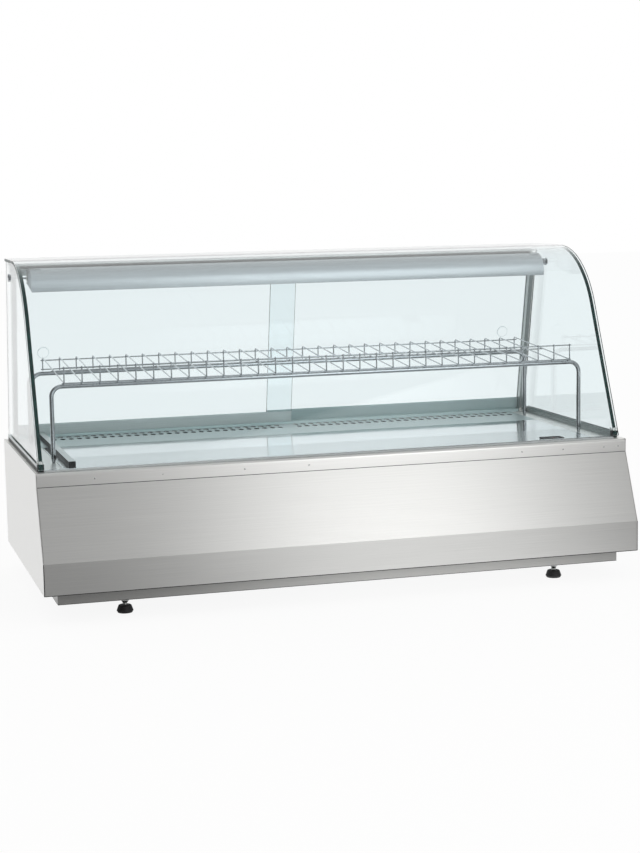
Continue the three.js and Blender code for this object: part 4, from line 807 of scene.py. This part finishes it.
# Printed card and sprayed lacquer: matt and semi-gloss, each with a tooth of about 1 mm
card_grey = grained("printed dark card", 0.0, 800, (0.45, 0.6), ("#141618", "#1d2022"), 0.01)
needle_red = grained("red lacquer", 0.0, 800, (0.3, 0.42), ("#a8231b", "#bd2b22"), 0.01)
low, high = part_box("thermometer")
dial = Vector(((low.x + high.x) / 2, low.y + DIAL_INSET, high.z - CARD_DEPTH))
card = block(Vector((low.x, low.y, dial.z)) + CARD_MARGIN,
             Vector((high.x, high.y, dial.z + 0.3 * MM)) - CARD_MARGIN, 0.1)
settle(card, "thermometer_card", card_grey)
tick = block((12 * MM, -0.25 * MM, 0.3 * MM), (14 * MM, 0.25 * MM, 0.42 * MM), 0.05)
ticks = []
for index in range(TICKS):
    mark = copied(tick)
    # every fifth tick is wider
    wide = Matrix.Scale(2.0 if index % 5 == 0 else 1.0, 4, BACK)
    turn = Matrix.Rotation(math.radians(TICK_STEP * index), 4, "Z")
    mark.data.transform(Matrix.Translation(dial) @ turn @ wide)
    ticks.append(mark)
bpy.data.objects.remove(tick)
settle(joined_as_one(ticks), "thermometer_scale", white_plastic)
needle = block((0, -0.4 * MM, 0.45 * MM), (7 * MM, 0.4 * MM, 0.7 * MM))
push(needle, RIGHT, 4 * MM, 0.35, (0, 0, 0.57 * MM))
bevelled(needle, 0.06, 1)
needle.data.transform(Matrix.Translation(dial) @ Matrix.Rotation(math.radians(READING), 4, "Z"))
hub = disc(1.4 * MM, 0.8 * MM, dial + UP * 0.7 * MM, UP, 20)
push(hub, UP, 0.3 * MM, 0.7, dial)
settle(joined_as_one([needle, hub]), "thermometer_needle", needle_red, angle=30)


# Glazing: side panes in aluminium channels, and one curved front pane that tilts on a bead hinge.
# Clear float glass is faintly green through its faces and dark green along its polished edges.
GLASS_TINT = "#f6fbfc"
# lower than plain float glass: the panes in the photo mirror little of the room
GLASS_IOR = 1.35
CLIP_Y = (-0.2155, -0.2075)
CLIP_Z = (0.3125, 0.3185)
CLIP_REACH = (0.1 * MM, 2.4 * MM)
BRACKET_LOW = (0.6135, 0.2735, 0.2981)
BRACKET_HIGH = (0.6282, 0.2850, 0.2993)
BRACKET_SCREW = (0.621, 0.2785, 0.2998)
CHANNEL_DARK_HEIGHT = 8 * MM

# Clear float glass that lets the lamps' light through, so that what stands behind it stays lit,
# with a waviness of some 0.3 m
pane_glass, tree = material_of("clear float glass", Base_Color=linear(GLASS_TINT), Roughness=0.0, IOR=GLASS_IOR,
                               Transmission_Weight=1.0)
shader = tree.nodes["Principled BSDF"]
noise = add_node(tree, "ShaderNodeTexNoise", {"Vector": placed(tree, 3), "Scale": 1.0, "Detail": 1.0})
wave = add_node(tree, "ShaderNodeBump", {"Height": noise, "Strength": 0.2, "Distance": 0.2 * MM})
tree.links.new(wave.outputs[0], shader.inputs["Normal"])
shadow = add_node(tree, "ShaderNodeLightPath").outputs["Is Shadow Ray"]
through = add_node(tree, "ShaderNodeBsdfTransparent", (linear(GLASS_TINT),))
mixed = add_node(tree, "ShaderNodeMixShader", (shadow, shader, through))
tree.links.new(mixed.outputs[0], tree.nodes["Material Output"].inputs["Surface"])
# Ground and polished edges: dark green, with soft streaks of some 25 mm
edge_glass = grained("polished glass edge", 0.0, 40, (0.2, 0.34), ("#062623", "#0b3a36"), 0.01, IOR=1.25)
# Nickel plate: bright and slightly cloudy
nickel = grained("bright nickel clip", 1.0, 400, (0.14, 0.28), ("#eae9e6", "#f8f7f4"), 0.005)
# The lower part of each channel's outer wall is dark grey and dull
channel_foot_grey = grained("dark grey channel foot", 0.0, (300, 60, 300), (0.48, 0.62), ("#4a4b4c", "#5e5f60"), 0.06,
                  Specular_IOR_Level=0.3)
# Extruded silicone: milky, with a faint tooth of some 3 mm
clear_seal = grained("translucent silicone seal", 0.0, 300, (0.3, 0.42), ("#d0d5d6", "#dce1e2"),
                     0.02, Transmission_Weight=0.3)


def glazed(cad_name, name, edge, is_face):
    """A pane with its edges broken; faces that are not its two broad ones get the edge's finish."""
    piece = dressed(cad_name, name, edge, pane_glass, edge_glass, angle=60)
    painted(piece, 1, lambda f: not is_face(f))
    return piece


for side in ("left", "right"):
    pane = glazed(f"side_glass_{side}", f"side_pane_{side}", 0.6, lambda f: abs(f.normal.x) > 0.9)
    # the edge that the nickel clip wraps, above the channel's end plug
    pane.data.materials.append(nickel)
    for height in CLIP_Z:
        cut(pane, (0, 0, height), UP)
    painted(pane, 2, lambda f: f.material_index == 1 and CLIP_Z[0] < f.center.z < CLIP_Z[1] and f.center.y < 0)
    even_shading(pane, 60)
    low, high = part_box(f"side_glass_{side}")
    near, far = CLIP_REACH
    arms = []
    for inner, outer in ((low.x - far, low.x - near), (high.x + near, high.x + far)):
        arms.append(block((inner, CLIP_Y[0], CLIP_Z[0]), (outer, CLIP_Y[1], CLIP_Z[1]), 0.5, 2))
    settle(joined_as_one(arms), f"pane_clip_{side}", nickel)
    # a bent bracket holds the foot of the corner post beside the channel
    leaf = block(BRACKET_LOW, BRACKET_HIGH)
    push(leaf, BACK, 1.2 * MM)
    pull(leaf, lambda f: f.normal.z > 0.9 and f.center.y > BRACKET_HIGH[1], (0, -2.2 * MM, 11 * MM))
    head = disc(2.6 * MM, 1.0 * MM, BRACKET_SCREW, UP, 20)
    push(head, UP, 0.4 * MM, 0.7, BRACKET_SCREW)
    bracket = joined_as_one([leaf, head])
    if side == "left":
        mirrored_left(bracket)
    bevelled(bracket, 0.2, 1)
    settle(bracket, f"post_bracket_{side}", nickel, angle=30)
pane_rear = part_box("front_glass")[1].y
glazed("front_glass", "front_pane", 0.8, lambda f: abs(f.normal.x) < 0.5 and f.center.y < pane_rear - MM)
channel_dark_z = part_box("glass_channel_left")[0].z + CHANNEL_DARK_HEIGHT
# the lower part of each channel's outer wall gets the dark grey finish
for side, sign in (("left", -1), ("right", 1)):
    darkened_below(dressed(f"glass_channel_{side}", f"pane_channel_{side}", 0.3, dark_aluminium), channel_dark_z,
           lambda f: f.normal.x * sign > 0.9 and f.center.z < channel_dark_z, channel_foot_grey)
    dressed(f"channel_cap_{side}", f"pane_channel_cap_{side}", 0.5, black_plastic)
dressed("glass_seal", "front_seal", 0.5, clear_seal)
dressed("glass_hinge", "hinge_leaf", 0.4, aluminium)


# Back: square posts and a top rail of anodised aluminium, a track on the deck, and two
# sliding doors, each a pane with a ground finger dish in a bottom rail.
RAIL_DROP = 6 * MM
DOOR_LEAN = 0.208
POST_SLIMMING = 3.5 * MM
SMALLEST_EDGE = 0.0005
# Anodised extrusions, paler than the posts: satin, with fine die lines along X
door_aluminium = grained("anodised aluminium, rear leaf", 0.8, (8, 900, 900), (0.44, 0.58),
                         ("#c0d3d3", "#d0e1e1"), 0.006)
leaf_aluminium = grained("anodised aluminium, front leaf", 0.7, (8, 900, 900), (0.44, 0.58),
                         ("#dfe7e6", "#edf4f3"), 0.006)
# Ground glass: frosted by a grit of about 0.7 mm, coarser than the real one so that it shows
ground_glass = grained("ground glass", 0.0, 1500, (0.4, 0.6), ("#d6e4e4", "#e8f2f2"), 0.03,
                       Transmission_Weight=0.6, IOR=1.5)
for side, rail_metal in (("left", leaf_aluminium), ("right", door_aluminium)):
    post = dressed(f"rear_post_{side}", f"corner_post_{side}", 0.6, aluminium)
    # the extrusion is slimmer than the box that it is cut from
    low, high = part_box(f"rear_post_{side}")
    post_middle = (low.x + high.x) / 2
    for vertex in post.data.vertices:
        if abs(vertex.co.x) > abs(post_middle):
            vertex.co.x -= math.copysign(POST_SLIMMING, post_middle)
    pane = dressed(f"door_glass_{side}", f"door_pane_{side}", 0, pane_glass, edge_glass, ground_glass)
    lean = max(pane.data.polygons, key=lambda f: f.area).normal.copy()
    painted(pane, 1, lambda f: abs(f.normal.dot(lean)) <= 0.9 and f.area > SMALLEST_EDGE)
    painted(pane, 2, lambda f: abs(f.normal.dot(lean)) <= 0.9 and f.area <= SMALLEST_EDGE)
    rail = dressed(f"door_rail_{side}", f"door_foot_rail_{side}", 0.5, rail_metal)
    # the rail's lips stand a little lower than the block it is cut from, along the door's lean
    low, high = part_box(f"door_rail_{side}")
    for vertex in rail.data.vertices:
        if vertex.co.z > (low.z + high.z) / 2:
            vertex.co += Vector((0, RAIL_DROP * DOOR_LEAN, -RAIL_DROP))
dressed("top_rail", "rear_top_rail", 0.4, aluminium)
dressed("door_track", "door_floor_track", 0.3, door_aluminium)


# Lamp: a bent aluminium trough between the side panes, with a white tube under it and
# capped bolts that hold it through the panes.

# heights in metres between which the painted shade on the trough changes, and what share of the brightness is
# left
LAMP_LIP_SHADE = (0.650, 0.668, 0.84)
LAMP_CREST_SHADE = (0.678, 0.693, 0.55)
TAB_WIDTH, TAB_HEIGHT = 9 * MM, 14 * MM
# Satin sheet with rolling marks along X; its colour carries painted shade, darker at the trough's upper edge
# and, less, at its lower lip
lamp_metal = grained("satin aluminium lamp trough", 1.0, (6, 700, 700), (0.34, 0.48), ("#d6dadd", "#e4e8eb"),
                     0.006)
tree = lamp_metal.node_tree
height = axes_of(tree)["Z"]
# painted shade: the trough's colour is darkened by height, most at its upper edge
lip_shade = add_node(tree, "ShaderNodeMapRange", (height, *LAMP_LIP_SHADE, 1.0), **SMOOTH)
crest_shade = add_node(tree, "ShaderNodeMapRange", (height, *LAMP_CREST_SHADE[:2], 1.0, LAMP_CREST_SHADE[2]), **SMOOTH)
painted_shade = add_node(tree, "ShaderNodeMath", (lip_shade, crest_shade), operation="MULTIPLY")
colour_in = tree.nodes["Principled BSDF"].inputs["Base Color"]
shaded_colour = add_node(tree, "ShaderNodeVectorMath", {0: colour_in.links[0].from_socket, "Scale": painted_shade},
                  operation="SCALE")
tree.links.new(shaded_colour.outputs[0], colour_in)
# Frosted tube: white, with a soft even gloss
lamp_white = grained("frosted lamp glass", 0.0, 300, (0.26, 0.36), ("#eaecea", "#f3f5f3"), 0.01)
# Chrome plate: a mirror with a faint cloudiness
chrome = grained("bright chrome plate", 1.0, 200, (0.04, 0.1), ("#b4b7ba", "#c4c7ca"), 0.003)
dressed("lamp_housing", "lamp_trough_sheet", 0.4, lamp_metal)
dressed("lamp_tube", "lamp_glass_tube", 1.0, lamp_white)
for side, sign in (("left", -1), ("right", 1)):
    # a domed cap outside the pane, a grooved collar inside it and a slim stud to the trough's end
    cad_name = f"lamp_bolt_{side}"
    low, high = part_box(cad_name)
    axis = RIGHT * sign
    centre = Vector((0, (low.y + high.y) / 2, (low.z + high.z) / 2))
    inner = min(abs(low.x), abs(high.x))
    radius = (high.z - low.z) / 2
    pane_in, pane_out = sorted(abs(corner.x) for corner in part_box(f"side_glass_{side}"))
    cap = disc(radius, 1.6 * MM, centre + axis * (pane_out + MM), axis, 32)
    for rise, size in ((1.2, 0.86), (0.8, 0.6)):
        push(cap, axis, rise * MM, size, centre)
    collar = disc(radius - 0.8 * MM, 2.6 * MM, centre + axis * (pane_in - 1.5 * MM), axis, 32)
    for rise, size in ((0.6, 0.86), (1.2, 1), (0.6, 1 / 0.86), (2.2, 1), (0.8, 0.7)):
        push(collar, -axis, rise * MM, size, centre)
    stud_end = pane_in - 8 * MM
    stud = disc(2.4 * MM, stud_end - inner, centre + axis * (inner + stud_end) / 2, axis, 16)
    bolt = joined_as_one([cap, collar, stud])
    settle(bolt, f"lamp_bolt_fittings_{side}", chrome, angle=30)
    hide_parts(cad_name)
    # the tab of the trough's end that the stud screws into, with a washer
    ends = sorted((sign * (inner - 0.2 * MM), sign * (inner + 1.3 * MM)))
    tab = block((ends[0], centre.y - TAB_WIDTH, centre.z - TAB_HEIGHT),
                (ends[1], centre.y + TAB_WIDTH, centre.z + TAB_HEIGHT), 0.5, 2)
    washer = disc(5.5 * MM, 1.2 * MM, centre + axis * (inner + 1.9 * MM), axis)
    push(washer, axis, 0.3 * MM, 0.9, centre)
    settle(joined_as_one([tab, washer]), f"lamp_end_tab_{side}", nickel, angle=30)
    # the metal cap at this end of the lamp tube
    low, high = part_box("lamp_tube")
    tube_middle = Vector((0, (low.y + high.y) / 2, (low.z + high.z) / 2))
    cap_ring = disc(8.3 * MM, 9 * MM, tube_middle + axis * (high.x - 5 * MM), axis, 32)
    push(cap_ring, -axis, 0.6 * MM, 0.97, tube_middle)
    settle(cap_ring, f"lamp_tube_cap_{side}", aluminium, angle=30)


# Shelf: two frames of bent chrome tube stand on the deck and carry a lift-off grid of
# chrome wires; every wire and tube is bent cold from one length.
TUBE_RADIUS = 4.8 * MM
TIP_SHARE = 0.62
TIP_HEIGHT = 10 * MM
FRAME_BEND = 22 * MM
WIRE_RADIUS = 1.5 * MM
WIRE_BEND = 4 * MM
WIRE_COUNT = 31
LONG_WIRE_RADIUS = 1.4 * MM


def bent_rod(radius, start, heading, moves, sides):
    """A round rod: a circle pushed straight along a run, or swung round a bend's centre."""
    turn = Vector(heading).to_track_quat("Z", "Y").to_euler()
    rod = laid_in(new_mesh(bpy.ops.mesh.primitive_circle_add, vertices=sides, radius=radius,
                           fill_type="NOTHING", location=start, rotation=turn))
    mode("EDIT")
    bpy.ops.mesh.select_all(action="SELECT")
    for move in moves:
        if len(move) == 3:
            bpy.ops.mesh.extrude_region_move(TRANSFORM_OT_translate={"value": move})
        else:
            # with no window, spin turns against the right-hand rule
            centre, axis, turn, steps = move
            bpy.ops.mesh.spin(steps=steps, angle=-math.radians(turn), center=centre, axis=axis)
    bpy.ops.mesh.select_all(action="SELECT")
    bpy.ops.mesh.remove_doubles(threshold=MM / 100)
    bpy.ops.mesh.fill_holes(sides=sides)
    bpy.ops.mesh.normals_make_consistent(inside=False)
    mode("OBJECT")
    return rod


for end in ("front", "rear"):
    cad_name = f"shelf_{end}_frame"
    low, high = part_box(cad_name)
    y = (low.y + high.y) / 2
    left, rise = low.x + TUBE_RADIUS, high.z - TUBE_RADIUS - FRAME_BEND - low.z
    # each leg ends in a tip that is drawn in to fit its hole in the deck
    left_tip = bent_rod(TUBE_RADIUS * TIP_SHARE, (left, y, low.z), UP, [(0, 0, TIP_HEIGHT)], 20)
    for vertex in left_tip.data.vertices:
        if vertex.co.z > low.z + TIP_HEIGHT / 2:
            vertex.co.x = left + (vertex.co.x - left) / TIP_SHARE
            vertex.co.y = y + (vertex.co.y - y) / TIP_SHARE
    right_tip = copied(left_tip, (-2 * left, 0, 0))
    tube = bent_rod(TUBE_RADIUS, (left, y, low.z + TIP_HEIGHT), UP, [
        (0, 0, rise - TIP_HEIGHT),
        ((left + FRAME_BEND, y, low.z + rise), BACK, 90, 10),
        (-2 * (left + FRAME_BEND), 0, 0),
        ((-left - FRAME_BEND, y, low.z + rise), BACK, 90, 10),
        (0, 0, TIP_HEIGHT - rise),
    ], 20)
    tube = joined_as_one([tube, left_tip, right_tip])
    settle(tube, f"{end}_shelf_tube", chrome, angle=50)
    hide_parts(cad_name)

low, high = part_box("wire_shelf")
shelf_points = [v.co for v in frame["nodes"]["wire_shelf"].data.vertices]
rear_heights = [p.z for p in shelf_points if p.y > high.y - 4 * MM]
front_heights = [p.z for p in shelf_points if p.y < low.y + 4 * MM]
rear_foot_z, lip_top_z = min(rear_heights), max(front_heights)
wire_half = high.x - 3 * WIRE_RADIUS
front_y, rear_y = low.y + WIRE_RADIUS, high.y - WIRE_RADIUS
rear_top = Vector((-wire_half, rear_y, max(rear_heights) - WIRE_RADIUS))
front_foot = Vector((-wire_half, front_y, min(front_heights) + WIRE_RADIUS))
slope = math.atan2(rear_top.z - front_foot.z, rear_y - front_y)
turn_rear, turn_front = 90 + math.degrees(slope), 90 - math.degrees(slope)
trim_rear, trim_front = (WIRE_BEND * math.tan(math.radians(turn / 2)) for turn in (turn_rear, turn_front))
down_slope = Vector((0, -math.cos(slope), -math.sin(slope)))
bend_rear = Vector((-wire_half, rear_y - WIRE_BEND, rear_top.z - trim_rear))
bend_front = Vector((-wire_half, front_y + WIRE_BEND, front_foot.z + trim_front))
cross_wire = bent_rod(WIRE_RADIUS, (-wire_half, rear_y, rear_foot_z), UP, [
    (0, 0, bend_rear.z - rear_foot_z),
    (bend_rear, RIGHT, turn_rear, 6),
    down_slope * ((front_foot - rear_top).length - trim_rear - trim_front),
    (bend_front, -RIGHT, turn_front, 6),
    (0, 0, lip_top_z - bend_front.z),
], 8)
wires = [cross_wire]
for index in range(1, WIRE_COUNT):
    wires.append(copied(cross_wire, (2 * wire_half * index / (WIRE_COUNT - 1), 0, 0)))
long_places = (
    (front_y + 2 * LONG_WIRE_RADIUS, lip_top_z - 2 * LONG_WIRE_RADIUS),
    (front_y + 3 * LONG_WIRE_RADIUS, front_foot.z - LONG_WIRE_RADIUS / 2),
    ((front_y + rear_y) / 2, (rear_top.z + front_foot.z) / 2 - 1.9 * LONG_WIRE_RADIUS),
    (rear_y - 2 * LONG_WIRE_RADIUS, rear_foot_z + 2 * LONG_WIRE_RADIUS),
    (rear_y - 2 * LONG_WIRE_RADIUS, rear_top.z - 4 * WIRE_RADIUS),
)
for y, z in long_places:
    wires.append(bent_rod(LONG_WIRE_RADIUS, (low.x, y, z), RIGHT, [(high.x - low.x, 0, 0)], 8))
shelf = settle(joined_as_one(wires), "chrome_wire_shelf", chrome, "wire_shelf", 50)
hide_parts("wire_shelf")
